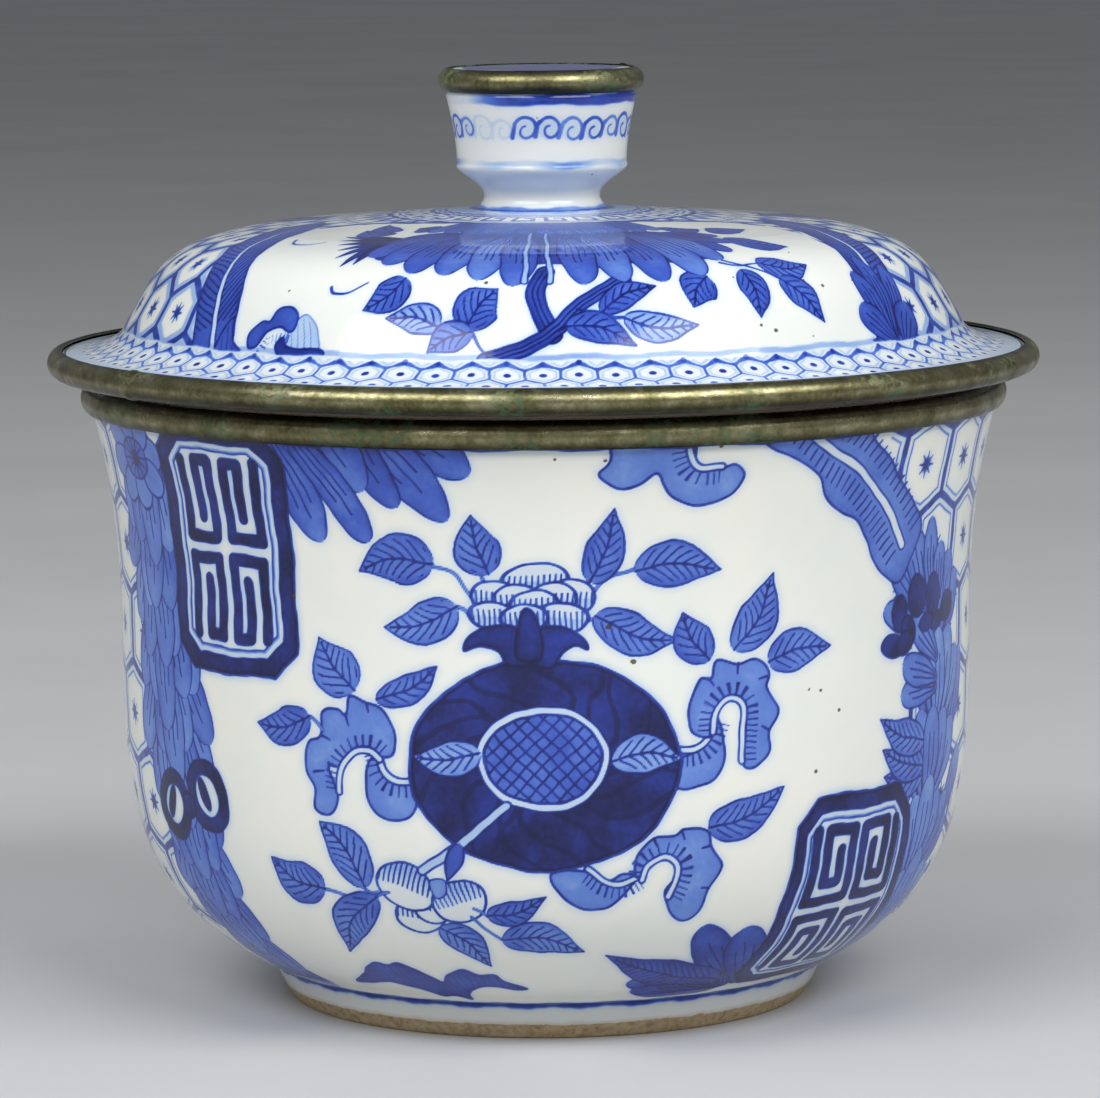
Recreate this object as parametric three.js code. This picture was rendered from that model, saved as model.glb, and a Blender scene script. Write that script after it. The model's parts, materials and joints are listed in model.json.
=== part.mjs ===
// Covered rice bowl: a porcelain bowl, a domed porcelain lid and a hollow porcelain knob. Each of the
// three wears a brass band, rolled from sheet and bedded on lacquer putty.
// Millimetres, +Z up, origin at the centre of the foot's underside. Profiles are (radius, height).
import * as THREE from 'three';

// ---- Driving dimensions ----

const SEGMENTS = 48; // facets round the bowl and the lid
const KNOB_SEGMENTS = 32; // facets round the knob
const FIT = 0.25; // clearance between a piece and the one it is bedded on
const SHEET = 0.5; // thickness of the brass sheet

const FOOT = { innerRadius: 48, outerRadius: 51.8, bareHeight: 3.1, recess: 6.2 };
const BELLY = { radius: 85.9, height: 76 };
const MOUTH = { radius: 90, height: 122.6, lip: 2.1, roll: 3.4 };
const BOWL = { wall: 4.2, floor: 11.5 };

const FLANGE = { radius: 97.3, height: 129.75, edge: 1.95, setBack: 1.1, roll: 2.7 };
const DOME = { foot: at(85, 135.8), shoulder: at(58, 156.1), wall: 4 };
const COLLAR = { outerRadius: 84.2, innerRadius: 81.2, bottom: 119.4 };
const SEAT = { innerRadius: 86, outerRadius: 92.6 };
const CROWN = { radius: 13.6, height: 159.8, vent: 2 };

const KNOB = { base: 13.2, cup: at(17.1, 168.9), rim: 18.95, shoulder: 186.7, top: 188 };
const KNOB_HOLLOW = { mouth: 8.6, radius: 13.6, floor: 169.5, top: 184.2 };
const KNOB_ROLL = { radius: 18.27, height: 185.5, roll: 2.5 };

// The facet on top of the mouth's band is level: the lid's seat rests on it.
const SEAT_ANGLE = 75;
const SEAT_HEIGHT = MOUTH.height + MOUTH.roll * Math.sin(THREE.MathUtils.degToRad(SEAT_ANGLE));

// ---- Profile tools ----

function at(radius, height) {
  return new THREE.Vector2(radius, height);
}

// Points along a Bezier curve of three or four control points.
function bend(controls, steps) {
  const cubic = controls.length === 4;
  const curve = cubic
    ? new THREE.CubicBezierCurve(...controls)
    : new THREE.QuadraticBezierCurve(...controls);
  return curve.getPoints(steps);
}

// Points along an arc; degrees, 0 pointing away from the axis and 90 pointing up.
function arc(centre, radius, from, to, steps) {
  return Array.from({ length: steps + 1 }, (_, i) => {
    const angle = THREE.MathUtils.degToRad(from + ((to - from) * i) / steps);
    return at(centre.x + radius * Math.cos(angle), centre.y + radius * Math.sin(angle));
  });
}

// The far side of a wall whose near side is the outline, in reverse order.
function insideOf(outline, wall) {
  return outline
    .map((point, i) => {
      const before = outline[Math.max(i - 1, 0)];
      const after = outline[Math.min(i + 1, outline.length - 1)];
      const along = after.clone().sub(before).normalize();
      return at(point.x - along.y * wall, point.y + along.x * wall);
    })
    .reverse();
}

// A solid of revolution about +Z. The profile starts and ends on the axis, or closes on itself.
function turned(name, profile, segments, material) {
  const geometry = new THREE.LatheGeometry(profile, segments);
  geometry.rotateX(Math.PI / 2);
  const mesh = new THREE.Mesh(geometry, material());
  mesh.name = name;
  return mesh;
}

// ---- Materials ----

const porcelain = () =>
  new THREE.MeshStandardMaterial({ color: 0xe4ebf3, roughness: 0.12, metalness: 0 });
const brass = () =>
  new THREE.MeshStandardMaterial({ color: 0x8c8160, roughness: 0.42, metalness: 1 });
const putty = () =>
  new THREE.MeshStandardMaterial({ color: 0x3a2a1e, roughness: 0.9, metalness: 0 });

// ---- Bowl ----

function bowlOutside() {
  const footTop = at(56.2, 7.4);
  const shoulder = at(BELLY.radius, BELLY.height);
  const lipFoot = at(MOUTH.radius + MOUTH.lip - 0.4, MOUTH.height - 1.6);
  const belly = bend([footTop, at(84.2, 21.5), at(BELLY.radius, 38.5), shoulder], 8);
  const flare = bend([shoulder, at(BELLY.radius, 92.7), at(87.7, 109.1), lipFoot], 4);
  return [...belly, ...flare.slice(1)];
}

function bowlBody() {
  const centre = at(MOUTH.radius, MOUTH.height);
  const outside = bowlOutside();
  const underside = [
    at(0, FOOT.recess),
    at(FOOT.innerRadius - 3.4, FOOT.recess),
    at(FOOT.innerRadius - 1, FOOT.recess - 2),
    at(FOOT.innerRadius, 0),
    at(FOOT.outerRadius, 0),
    at(FOOT.outerRadius + 0.8, 0.7),
    at(FOOT.outerRadius + 2.4, FOOT.bareHeight),
  ];
  const lip = arc(centre, MOUTH.lip, 0, 180, 4);
  const inside = insideOf(outside, BOWL.wall).slice(1, -1);
  const well = bend([at(57.8, 14.1), at(53.6, BOWL.floor), at(45, BOWL.floor)], 2);
  const profile = [...underside, ...outside, ...lip, ...inside, ...well, at(0, BOWL.floor)];
  return turned('bowl_body', profile, SEGMENTS, porcelain);
}

// A ring whose section is part of a rolled strip: two arcs about one centre.
function rolledStrip(centre, roll, from, to, steps) {
  const outer = arc(centre, roll, from, to, steps);
  const inner = arc(centre, roll - SHEET, to, from, steps);
  return [...outer, ...inner, outer[0]];
}

function bowlRimBand() {
  const centre = at(MOUTH.radius, MOUTH.height);
  const strip = rolledStrip(centre, MOUTH.roll, SEAT_ANGLE - 120, SEAT_ANGLE + 120, 8);
  return turned('bowl_rim_band', strip, SEGMENTS, brass);
}

function bowlBandBedding() {
  const centre = at(MOUTH.radius, MOUTH.height);
  const outer = arc(centre, MOUTH.roll - SHEET - FIT, 0, 180, 4);
  const inner = arc(centre, MOUTH.lip + FIT, 180, 0, 4);
  return turned('bowl_band_bedding', [...outer, ...inner, outer[0]], SEGMENTS, putty);
}

// ---- Lid ----

function lidOutside() {
  const edge = at(FLANGE.radius - FLANGE.setBack, FLANGE.height + FLANGE.edge);
  const flange = bend([edge, at(88, 132.6), DOME.foot], 4);
  const shoulder = bend([DOME.foot, at(77.6, 149.1), at(76.2, 153.4), DOME.shoulder], 5);
  const crown = bend([DOME.shoulder, at(40, 157.9), at(CROWN.radius, CROWN.height)], 3);
  return { flange, dome: [...shoulder, ...crown.slice(1)] };
}

function lidBody() {
  const { flange, dome } = lidOutside();
  const edgeCentre = at(FLANGE.radius - FLANGE.setBack, FLANGE.height);
  const collar = [
    at(COLLAR.innerRadius, DOME.foot.y - 3),
    at(COLLAR.innerRadius, COLLAR.bottom + 0.8),
    at(COLLAR.innerRadius + 0.8, COLLAR.bottom),
    at(COLLAR.outerRadius - 0.8, COLLAR.bottom),
    at(COLLAR.outerRadius, COLLAR.bottom + 0.8),
    at(COLLAR.outerRadius, SEAT_HEIGHT - 1),
    at(SEAT.innerRadius, SEAT_HEIGHT),
    at(SEAT.outerRadius, SEAT_HEIGHT),
  ];
  const edge = arc(edgeCentre, FLANGE.edge, -90, 90, 4);
  const vent = [
    at(CROWN.vent, CROWN.height),
    at(CROWN.vent, CROWN.height - DOME.wall),
  ];
  const inside = insideOf(dome, DOME.wall);
  const outside = [...edge, ...flange.slice(1), ...dome.slice(1)];
  const profile = [...collar, ...outside, ...vent, ...inside.slice(0, -1), collar[0]];
  return turned('lid_body', profile, SEGMENTS, porcelain);
}

function lidRimBand() {
  const strip = rolledStrip(at(FLANGE.radius, FLANGE.height), FLANGE.roll, -95, 95, 8);
  return turned('lid_rim_band', strip, SEGMENTS, brass);
}

// The putty fills the pocket between the flange's round edge and the roll.
function lidBandBedding() {
  const edgeCentre = at(FLANGE.radius - FLANGE.setBack, FLANGE.height);
  const outer = arc(at(FLANGE.radius, FLANGE.height), FLANGE.roll - SHEET - FIT, -50, 50, 4);
  const inner = arc(edgeCentre, FLANGE.edge + FIT, 45, -45, 4);
  return turned('lid_band_bedding', [...outer, ...inner, outer[0]], SEGMENTS, putty);
}

// ---- Knob ----

function lidKnob() {
  const hollow = [
    at(0, KNOB_HOLLOW.top),
    at(KNOB_HOLLOW.radius, KNOB_HOLLOW.top),
    at(KNOB_HOLLOW.radius, KNOB_HOLLOW.floor),
    at(KNOB_HOLLOW.mouth, KNOB_HOLLOW.floor - 4),
    at(KNOB_HOLLOW.mouth, CROWN.height),
  ];
  const base = at(KNOB.base, CROWN.height);
  const neck = bend([base, at(7.8, 164.2), at(18.9, 166.9), KNOB.cup], 6);
  const cup = bend([KNOB.cup, at(17.1, 174), at(19.3, 182.2)], 3);
  const rim = [at(KNOB.rim, 182.9), at(KNOB.rim, KNOB.shoulder), at(KNOB.rim - 0.95, KNOB.shoulder + 1)];
  const top = bend([rim[2], at(16.5, KNOB.top), at(0, KNOB.top)], 3);
  const profile = [...hollow, ...neck, ...cup.slice(1), ...rim, ...top.slice(1)];
  return turned('lid_knob', profile, KNOB_SEGMENTS, porcelain);
}

function knobBand() {
  const strip = rolledStrip(at(KNOB_ROLL.radius, KNOB_ROLL.height), KNOB_ROLL.roll, -64, 80, 5);
  return turned('knob_band', strip, KNOB_SEGMENTS, brass);
}

function knobBandBedding() {
  const centre = at(KNOB_ROLL.radius, KNOB_ROLL.height);
  const outer = arc(centre, KNOB_ROLL.roll - SHEET - FIT, -45, 45, 3);
  const inner = [at(KNOB.rim + FIT, outer.at(-1).y), at(KNOB.rim + FIT, outer[0].y)];
  return turned('knob_band_bedding', [...outer, ...inner, outer[0]], KNOB_SEGMENTS, putty);
}

// ---- Assembly ----

const bowl = new THREE.Group();
bowl.add(bowlBody(), bowlBandBedding(), bowlRimBand());

const lid = new THREE.Group();
lid.add(lidBody(), lidBandBedding(), lidRimBand(), lidKnob(), knobBandBedding(), knobBand());

const group = new THREE.Group();
group.add(bowl, lid);

export default group;
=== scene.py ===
"""A covered rice bowl: porcelain painted in cobalt blue, with brass bands rolled over its rims.

Lengths are millimetres until a mesh is made. Profiles are (radius, height) points. Each painted wall
has a canvas: x goes round the wall, at its reference radius, and y is the length up its profile.
"""
import json
import math

import bpy
import numpy as np
from mathutils import Matrix, Vector

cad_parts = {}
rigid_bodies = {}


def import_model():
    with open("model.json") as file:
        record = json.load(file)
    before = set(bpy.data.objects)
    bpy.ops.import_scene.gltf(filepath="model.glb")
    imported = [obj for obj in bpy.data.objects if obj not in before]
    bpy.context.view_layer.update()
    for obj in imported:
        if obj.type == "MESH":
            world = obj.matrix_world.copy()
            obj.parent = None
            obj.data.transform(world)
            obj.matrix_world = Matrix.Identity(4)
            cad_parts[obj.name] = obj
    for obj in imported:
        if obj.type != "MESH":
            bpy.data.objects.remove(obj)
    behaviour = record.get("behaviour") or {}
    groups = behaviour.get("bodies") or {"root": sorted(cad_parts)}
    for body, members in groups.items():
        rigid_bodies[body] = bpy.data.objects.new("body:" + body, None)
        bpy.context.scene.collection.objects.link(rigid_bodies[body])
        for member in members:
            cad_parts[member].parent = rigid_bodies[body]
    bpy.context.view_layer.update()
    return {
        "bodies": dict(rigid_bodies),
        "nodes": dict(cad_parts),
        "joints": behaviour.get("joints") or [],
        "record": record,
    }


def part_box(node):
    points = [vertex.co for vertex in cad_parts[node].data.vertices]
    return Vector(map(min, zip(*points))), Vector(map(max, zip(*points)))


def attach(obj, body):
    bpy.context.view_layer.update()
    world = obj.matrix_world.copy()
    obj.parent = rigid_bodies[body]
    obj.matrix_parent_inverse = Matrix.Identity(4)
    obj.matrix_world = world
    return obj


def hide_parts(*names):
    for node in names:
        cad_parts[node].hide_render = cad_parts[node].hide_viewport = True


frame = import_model()

MM = 0.001
FINE = 2  # painting samples across one cell of a painted mesh
EDGE = 0.16  # width over which a painted edge fades
WAVER, TREMBLE = 0.22, 0.06  # slow and quick wander of the painter's hand
BLEED = 0.3  # share of the cobalt that spreads into the glaze round it


# ---- Curves ----

def bend(controls, steps):
    """Points along a Bezier curve of three or four control points."""
    t = np.linspace(0, 1, steps + 1)[:, None]
    points = np.array(controls, float)[:, None]
    while len(points) > 1:
        points = points[:-1] * (1 - t) + points[1:] * t
    return points[0]


def arc(centre, radius, start, end, steps):
    """Points along an arc; degrees, 0 pointing away from the axis and 90 pointing up."""
    angle = np.radians(np.linspace(start, end, steps + 1))
    return np.stack([centre[0] + radius * np.cos(angle), centre[1] + radius * np.sin(angle)], 1)


def joined(*runs):
    """Runs of points end to end, without repeated points."""
    points = np.concatenate([np.atleast_2d(np.array(run, float)) for run in runs])
    apart = np.hypot(*np.diff(points, axis=0).T) > 1e-6
    return points[np.concatenate([[True], apart])]


def lengths(points):
    """Length along a polyline at each of its points."""
    return np.concatenate([[0], np.cumsum(np.hypot(*np.diff(points, axis=0).T))])


def evenly(points, count):
    """The same polyline with evenly spaced points."""
    along = lengths(points)
    at = np.linspace(0, along[-1], count)
    return np.stack([np.interp(at, along, points[:, 0]), np.interp(at, along, points[:, 1])], 1)


def inside_of(outline, wall):
    """The far side of a wall whose near side is the outline, in reverse order."""
    along = np.gradient(outline, axis=0)
    along /= np.hypot(*along.T)[:, None]
    return (outline + wall * np.stack([-along[:, 1], along[:, 0]], 1))[::-1]


def smooth(points, steps=6, closed=False):
    """A Catmull-Rom curve through the points."""
    points = np.array(points, float)
    if closed:
        points = np.concatenate([points[-1:], points, points[:2]])
    else:
        points = np.concatenate([2 * points[:1] - points[1:2], points, 2 * points[-1:] - points[-2:-1]])
    t = np.linspace(0, 1, steps, endpoint=False)[:, None]
    runs = []
    for a, b, c, d in zip(points, points[1:], points[2:], points[3:]):
        runs.append(0.5 * (2 * b + (c - a) * t + (2 * a - 5 * b + 4 * c - d) * t**2
                           + (3 * b - a - 3 * c + d) * t**3))
    return np.concatenate(runs + [points[-2:-1]])


# ---- Painting ----

def soft(distance):
    """Coverage of a pixel whose centre is this far inside an edge."""
    return np.clip(distance / EDGE + 0.5, 0, 1)


def near(path, x, y):
    """For each pixel, the length along the path to its nearest point, and the signed distance to it."""
    best = np.full(x.shape, 1e9, np.float32)
    along = np.zeros_like(best)
    side = np.ones_like(best)
    start = 0.0
    for p, q in zip(path[:-1], path[1:]):
        step = q - p
        length = math.hypot(*step)
        if length < 1e-9:
            continue
        t = np.clip(((x - p[0]) * step[0] + (y - p[1]) * step[1]) / length**2, 0, 1)
        ex, ey = x - p[0] - t * step[0], y - p[1] - t * step[1]
        square = ex * ex + ey * ey
        closer = square < best
        best[closer] = square[closer]
        along[closer] = start + t[closer] * length
        side[closer] = np.where(step[0] * ey - step[1] * ex < 0, -1, 1)[closer]
        start += length
    return along, np.sqrt(best) * side


class Canvas:
    """Cobalt on a wall: wash is the broad tone and line the brush line, each 0 to 1.
    Spots are the brown pinholes of the glaze."""

    def __init__(self, width, height, columns, rows):
        self.width, self.height, self.columns, self.rows = width, height, columns, rows
        self.step = width / columns / FINE, height / (rows - 1) / FINE
        self.wash = np.zeros((rows * FINE, columns * FINE), np.float32)
        self.line = np.zeros_like(self.wash)
        self.spots = np.zeros_like(self.wash)

    def window(self, low, high):
        """Index and hand-wavered coordinates of the pixels in a box."""
        (dx, dy), (rows, columns) = self.step, self.wash.shape
        across = np.arange(math.floor(low[0] / dx), math.ceil(high[0] / dx) + 2)
        up = np.arange(max(math.floor(low[1] / dy), 0), max(min(math.ceil(high[1] / dy) + 2, rows), 0))
        x, y = np.meshgrid((across - 1) * dx, (up - 1) * dy)
        x = x + WAVER * np.sin(0.41 * y + 0.13 * x) + TREMBLE * np.sin(1.1 * y - 0.7 * x)
        y = y + WAVER * np.sin(0.37 * x - 0.19 * y) + TREMBLE * np.sin(1.2 * x + 0.8 * y)
        return np.ix_(up, across % columns), x.astype(np.float32), y.astype(np.float32)

    def everywhere(self, low=0.0, high=None):
        return self.window((0, low), (self.width - 2 * self.step[0], high or self.height))

    def cover(self, index, mask, tone):
        """Lays a tone over whatever is there."""
        self.wash[index] += (tone - self.wash[index]) * mask
        self.line[index] *= 1 - mask

    def tint(self, index, tone):
        """Deepens the wash, but never lightens it."""
        self.wash[index] = np.maximum(self.wash[index], tone)

    def ink(self, index, mask, strength=1.0):
        self.line[index] = np.maximum(self.line[index], mask * strength)

    def values(self):
        """Wash, line and spots at each vertex; wash also holds the blue that bled into the glaze."""
        shape = self.rows, FINE, self.columns, FINE
        layers = self.wash, self.line, self.spots
        wash, line, spots = (layer.reshape(shape).mean((1, 3)) for layer in layers)
        bled = np.maximum(wash, line)
        for _ in range(4):
            bled = sum(np.roll(bled, shift, 1) for shift in (-2, -1, 0, 1, 2)) / 5
            padded = np.pad(bled, ((2, 2), (0, 0)), mode="edge")
            bled = sum(padded[k:k + self.rows] for k in range(5)) / 5
        return np.maximum(wash, BLEED * bled).ravel(), line.ravel(), spots.ravel()


def leaf_shape(half):
    """Half width of a leaf: round at its stalk, widest before its middle and drawn out to a point."""
    widest = 0.43

    def width(t):
        base = np.sqrt((1 - (1 - t / widest) ** 2).clip(0))
        u = ((t - widest) / (1 - widest)).clip(0, 1)
        return half * np.where(t < widest, base, (1 - u**1.7) * (1 - 0.35 * u**2))
    return width


def petal_shape(half):
    """Half width of a petal from its narrow root to its round tip."""
    def width(t):
        opened = 0.35 + 0.65 * np.sin(math.pi / 2 * np.minimum(t * 1.5, 1))
        return half * opened * np.sqrt((1 - t**5).clip(0))
    return width


def strap(half):
    """A constant half width."""
    return lambda t: half + 0 * t


def veins(pitch=2.1, slant=1.15, reach=0.8, rib=0.22, width=0.19):
    """A midrib with veins that slant forward from it."""
    def marks(t, along, off, half):
        phase = ((along - slant * np.abs(off)) / pitch) % 1
        within = (np.abs(off) < reach * half) & (t > 0.1) & (t < 0.92)
        return np.maximum(soft(width - np.abs(phase - 0.5) * pitch * 0.75) * within,
                          soft(rib - np.abs(off)) * (t < 0.93))
    return marks


def ribs(count=3, reach=0.8, width=0.19):
    """Lines that run the length of a petal from its root."""
    def marks(t, along, off, half):
        total = np.zeros_like(off)
        for k in range(count):
            place = (2 * (k + 1) / (count + 1) - 1) * 0.85
            ends = reach * (1 - 0.35 * abs(place))
            total = np.maximum(total, soft(width - np.abs(off - place * half)) * (t < ends))
        return total
    return marks


def comb(pitch, low, high, width=0.2):
    """Short strokes across a band, between two fractions of its half width."""
    def marks(t, along, off, half):
        phase = (along / pitch) % 1
        share = off / np.maximum(half, 0.01)
        return soft(width - np.abs(phase - 0.5) * pitch) * (share > low) * (share < high)
    return marks


class Pen:
    """Paints a panel's shapes on a canvas, in millimetres from the panel's middle."""

    def __init__(self, canvas, middle, hand=1, rise=0.0):
        self.canvas, self.middle, self.hand, self.rise = canvas, middle, hand, rise

    def place(self, points):
        return np.array(points, float) * (self.hand, 1) + (self.middle, self.rise)

    def ribbon(self, spine, width, tone=None, edge=0.42, marks=(), ink=1.0, pool=0.22, steps=6):
        """A band along a curve; width gives its half width from start 0 to end 1."""
        path = smooth(self.place(spine), steps)
        total = lengths(path)[-1]
        reach = width(np.linspace(0, 1, 21)).max() + 1
        index, x, y = self.canvas.window(path.min(0) - reach, path.max(0) + reach)
        along, off = near(path, x, y)
        off = off * self.hand
        t = along / total
        half = width(t)
        inside = half - np.abs(off)
        mask = soft(inside)
        if tone is not None:
            share = np.clip(np.abs(off) / np.maximum(half, 0.01), 0, 1)
            self.canvas.cover(index, mask, tone * (1 + pool * (share**3 - 0.4 + 0.6 * (1 - t))))
        for mark in marks:
            self.canvas.ink(index, mark(t, along, off, half) * mask, ink)
        if edge:
            self.canvas.ink(index, soft(edge / 2 - np.abs(inside)), ink)

    def stroke(self, points, width=0.5, ink=1.0):
        """A brush line, thinner towards its end."""
        path = smooth(self.place(points))
        reach = width + 0.5
        index, x, y = self.canvas.window(path.min(0) - reach, path.max(0) + reach)
        along, off = near(path, x, y)
        t = along / lengths(path)[-1]
        self.canvas.ink(index, soft(width / 2 * (1.1 - 0.4 * t) - np.abs(off)), ink)

    def patch(self, outline, tone, edge=0.45, hatch=None, ink=1.0, steps=6, pool=0.2):
        """A closed shape with a smooth outline; hatch is (pitch, slope) of its brush lines."""
        path = smooth(self.place(outline), steps, closed=True)
        index, x, y = self.canvas.window(path.min(0) - 1, path.max(0) + 1)
        inside = np.zeros(x.shape, bool)
        for (ax, ay), (bx, by) in zip(path[:-1], path[1:]):
            if ay != by:
                crosses = ((ay > y) != (by > y)) & (x < (bx - ax) * (y - ay) / (by - ay) + ax)
                inside ^= crosses
        depth = np.abs(near(path, x, y)[1]) * np.where(inside, 1, -1)
        mask = soft(depth)
        if tone is not None:
            self.canvas.cover(index, mask, tone * (1 + pool * np.exp(-np.abs(depth) / 0.8)))
        if hatch:
            pitch, slope = hatch
            phase = ((x * self.hand + slope * y) / pitch) % 1
            lines = soft(0.15 - np.abs(phase - 0.5) * pitch / math.hypot(1, slope))
            self.canvas.ink(index, lines * soft(depth - 0.7), ink * 0.85)
        if edge:
            self.canvas.ink(index, soft(edge / 2 - np.abs(depth)), ink)

    def oval(self, centre, radii, tone=None, edge=0.45, turn=0.0, marks=None):
        """An ellipse; tone and marks may be worked out from its own coordinates."""
        (cx, cy), = self.place([centre])
        reach = max(radii) + 1
        index, x, y = self.canvas.window((cx - reach, cy - reach), (cx + reach, cy + reach))
        c, s = math.cos(math.radians(turn)), math.sin(math.radians(turn))
        u, v = (x - cx) * self.hand, y - cy
        u, v = u * c + v * s, v * c - u * s
        depth = (1 - np.hypot(u / radii[0], v / radii[1])) * min(radii)
        mask = soft(depth)
        if tone is not None:
            self.canvas.cover(index, mask, tone(u, v) if callable(tone) else tone)
        if marks:
            self.canvas.ink(index, marks(u, v) * mask)
        if edge:
            self.canvas.ink(index, soft(edge / 2 - np.abs(depth)))

    def leaf(self, stalk, tip, half, tone=0.5, bow=0.08, ribbing=None):
        """A veined leaf from its stalk to its tip, bowed to one side."""
        a, b = np.array(stalk, float), np.array(tip, float)
        along = b - a
        middle = (a + b) / 2 + bow * np.array([-along[1], along[0]])
        self.ribbon([a, middle, b], leaf_shape(half), tone, marks=(ribbing or veins(),))

    def petal(self, root, tip, half, tone=0.45, lines=3, edge=0.4):
        self.ribbon([root, (np.array(root, float) + tip) / 2, tip], petal_shape(half), tone,
                    edge=edge, marks=(ribs(lines),))

    def petals(self, rows, tone):
        """Petals of one tone, each a root, a tip and a half width."""
        for root, tip, half in rows:
            self.petal(root, tip, half, tone)

    def fringe(self, path, reach, pitch=1.05):
        """Short brush lines out from the left side of a curve."""
        self.ribbon(path, strap(reach), edge=0, marks=(comb(pitch, 0.28, 1, width=0.14),))

    def pinholes(self, places, size=0.42):
        """Brown pits where the glaze burst."""
        for number, (px, py) in enumerate(self.place(places)):
            index, x, y = self.canvas.window((px - 1.5, py - 1.5), (px + 1.5, py + 1.5))
            radius = size * (0.7 + 0.2 * (number % 4))
            depth = radius - np.hypot(x - px, (y - py) * 1.3)
            self.canvas.spots[index] = np.maximum(self.canvas.spots[index], soft(depth))


def star(x, y, reach, rays=8):
    """A small asterisk of tapering rays."""
    r, angle = np.hypot(x, y), np.arctan2(y, x)
    ray = np.abs(np.sin(angle * rays / 2)) * r * 2 / rays
    return soft(0.3 * (1 - 0.5 * r / reach) - ray) * (r < reach)


def diaper(canvas, low, high, cells, pitch, rise, rule=1.3, inner=2.0, spot=2.7, shade=0.45, dot=0.0,
           halo=0.25, ink=1.0):
    """A net of pointed hexagons with a star in each; rise is how far a cell's top is pointed.
    Inside its dark rule each cell has a paler line, halo either side of the depth inner."""
    index, x, y = canvas.everywhere(low, high)
    wide = canvas.width / cells
    slope = 4 * rise / wide
    nearest = np.floor((y - low) / pitch)
    edge, across, up = np.full((3, *x.shape), -1e3, np.float32)
    for shift in (-1, 0, 1):
        row = nearest + shift
        u = ((x / wide + 0.5 * (row % 2)) % 1 - 0.5) * wide
        v = y - low - (row + 0.5) * pitch
        depth = np.minimum(wide / 2 - np.abs(u),
                           (pitch / 2 + rise - slope * np.abs(u) - np.abs(v)) / math.hypot(1, slope))
        better = depth > edge
        edge[better], across[better], up[better] = depth[better], u[better], v[better]
    canvas.cover(index, np.ones_like(edge), 0)
    canvas.ink(index, soft(rule / 2 - edge), ink)
    canvas.ink(index, soft(dot - np.hypot(across, up)))
    tints = np.maximum(shade * soft(halo - np.abs(edge - inner)),
                       0.32 * soft(spot * 0.6 - np.hypot(across, up)))
    canvas.tint(index, tints)
    canvas.ink(index, star(across, up, spot), 0.9)


# ---- Painted motifs ----

def upright(pitch, low=-9.0, high=9.0):
    """Upright brush lines between two heights of an oval."""
    return lambda u, v: soft(0.17 - np.abs((u / pitch) % 1 - 0.5) * pitch) * (v > low) * (v < high)


def lattice(pitch):
    """Crossed diagonal brush lines."""
    def marks(u, v):
        phases = (((u + k * v) / 1.41 / pitch) % 1 for k in (-1, 1))
        return np.maximum(*(soft(0.2 - np.abs(phase - 0.5) * pitch) for phase in phases))
    return marks


def spiral(start, end, pitch):
    """A squared spiral that winds into the box between two opposite corners."""
    box = np.array([start, end], float)
    step = pitch * np.sign(box[1] - box[0])
    spot, path = box[0].copy(), [tuple(box[0])]
    for leg in range(12):
        axis, side, used = (leg + 1) % 2, (leg // 2 + 1) % 2, (leg + 1) // 2 % 2
        if abs(box[side, axis] - spot[axis]) < 0.8 * pitch:
            break
        spot[axis] = box[side, axis]
        path.append(tuple(spot))
        box[used, 1 - axis] += step[1 - axis] * (1 - 2 * used)
    return path


def plaque(pen, corners, pitch=4.1, stroke=1.1, frame=3.1):
    """A framed tablet with bevelled corners, filled with four squared spirals.
    Its corners run anticlockwise from the low left one."""
    low_left, low_right, high_right, high_left = (np.array(corner, float) for corner in corners)

    def at(u, v):
        return (low_left * (1 - u) + low_right * u) * (1 - v) + (high_left * (1 - u) + high_right * u) * v

    size = np.hypot(*(low_right - low_left)), np.hypot(*(high_left - low_left))

    def outline(inset, bevel):
        (u, v), (bu, bv) = np.full(2, inset) / size, np.full(2, bevel) / size
        return [at(*spot) for spot in ((u + bu, v), (1 - u - bu, v), (1 - u, v + bv), (1 - u, 1 - v - bv),
                                       (1 - u - bu, 1 - v), (u + bu, 1 - v), (u, 1 - v - bv), (u, v + bv))]

    pen.patch(outline(0, 5.2), 0.84, edge=0.9, steps=1, pool=0.12)
    pen.patch(outline(frame, 3.8), 0.03, edge=0.5, steps=1, pool=0)
    pen.patch(outline(frame + 1.1, 3.3), 0.34, edge=0, steps=1, pool=0)
    pen.patch(outline(frame + 1.7, 3.1), 0.03, edge=0.45, steps=1, pool=0, ink=0.8)
    inset = frame + 3.9
    field = np.array(size) - 2 * inset
    for start in ((0, 0), (1, 0), (0, 1), (1, 1)):
        corner = np.array(start) * field
        end = field / 2 + (np.array(start) - 0.5) * pitch
        path = [at(*((spot + inset) / size)) for spot in np.array(spiral(corner, end, pitch))]
        pen.ribbon(path, strap(stroke), tone=0.88, edge=0.3, steps=1, pool=0.05)


def mushroom(pen, outline, gill, creases=(), tone=0.36, reach=3.2):
    """A curled fungus lobe: a scalloped patch, a pale rim along its gill, brush lines out of it, and
    creases that run in from between its scallops."""
    pen.patch(outline, tone, edge=0.5)
    for crease in creases:
        pen.stroke(crease, 0.5)
    pen.fringe(gill, reach)
    pen.ribbon(gill, strap(0.65), tone=0.05, edge=0.42)


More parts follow.
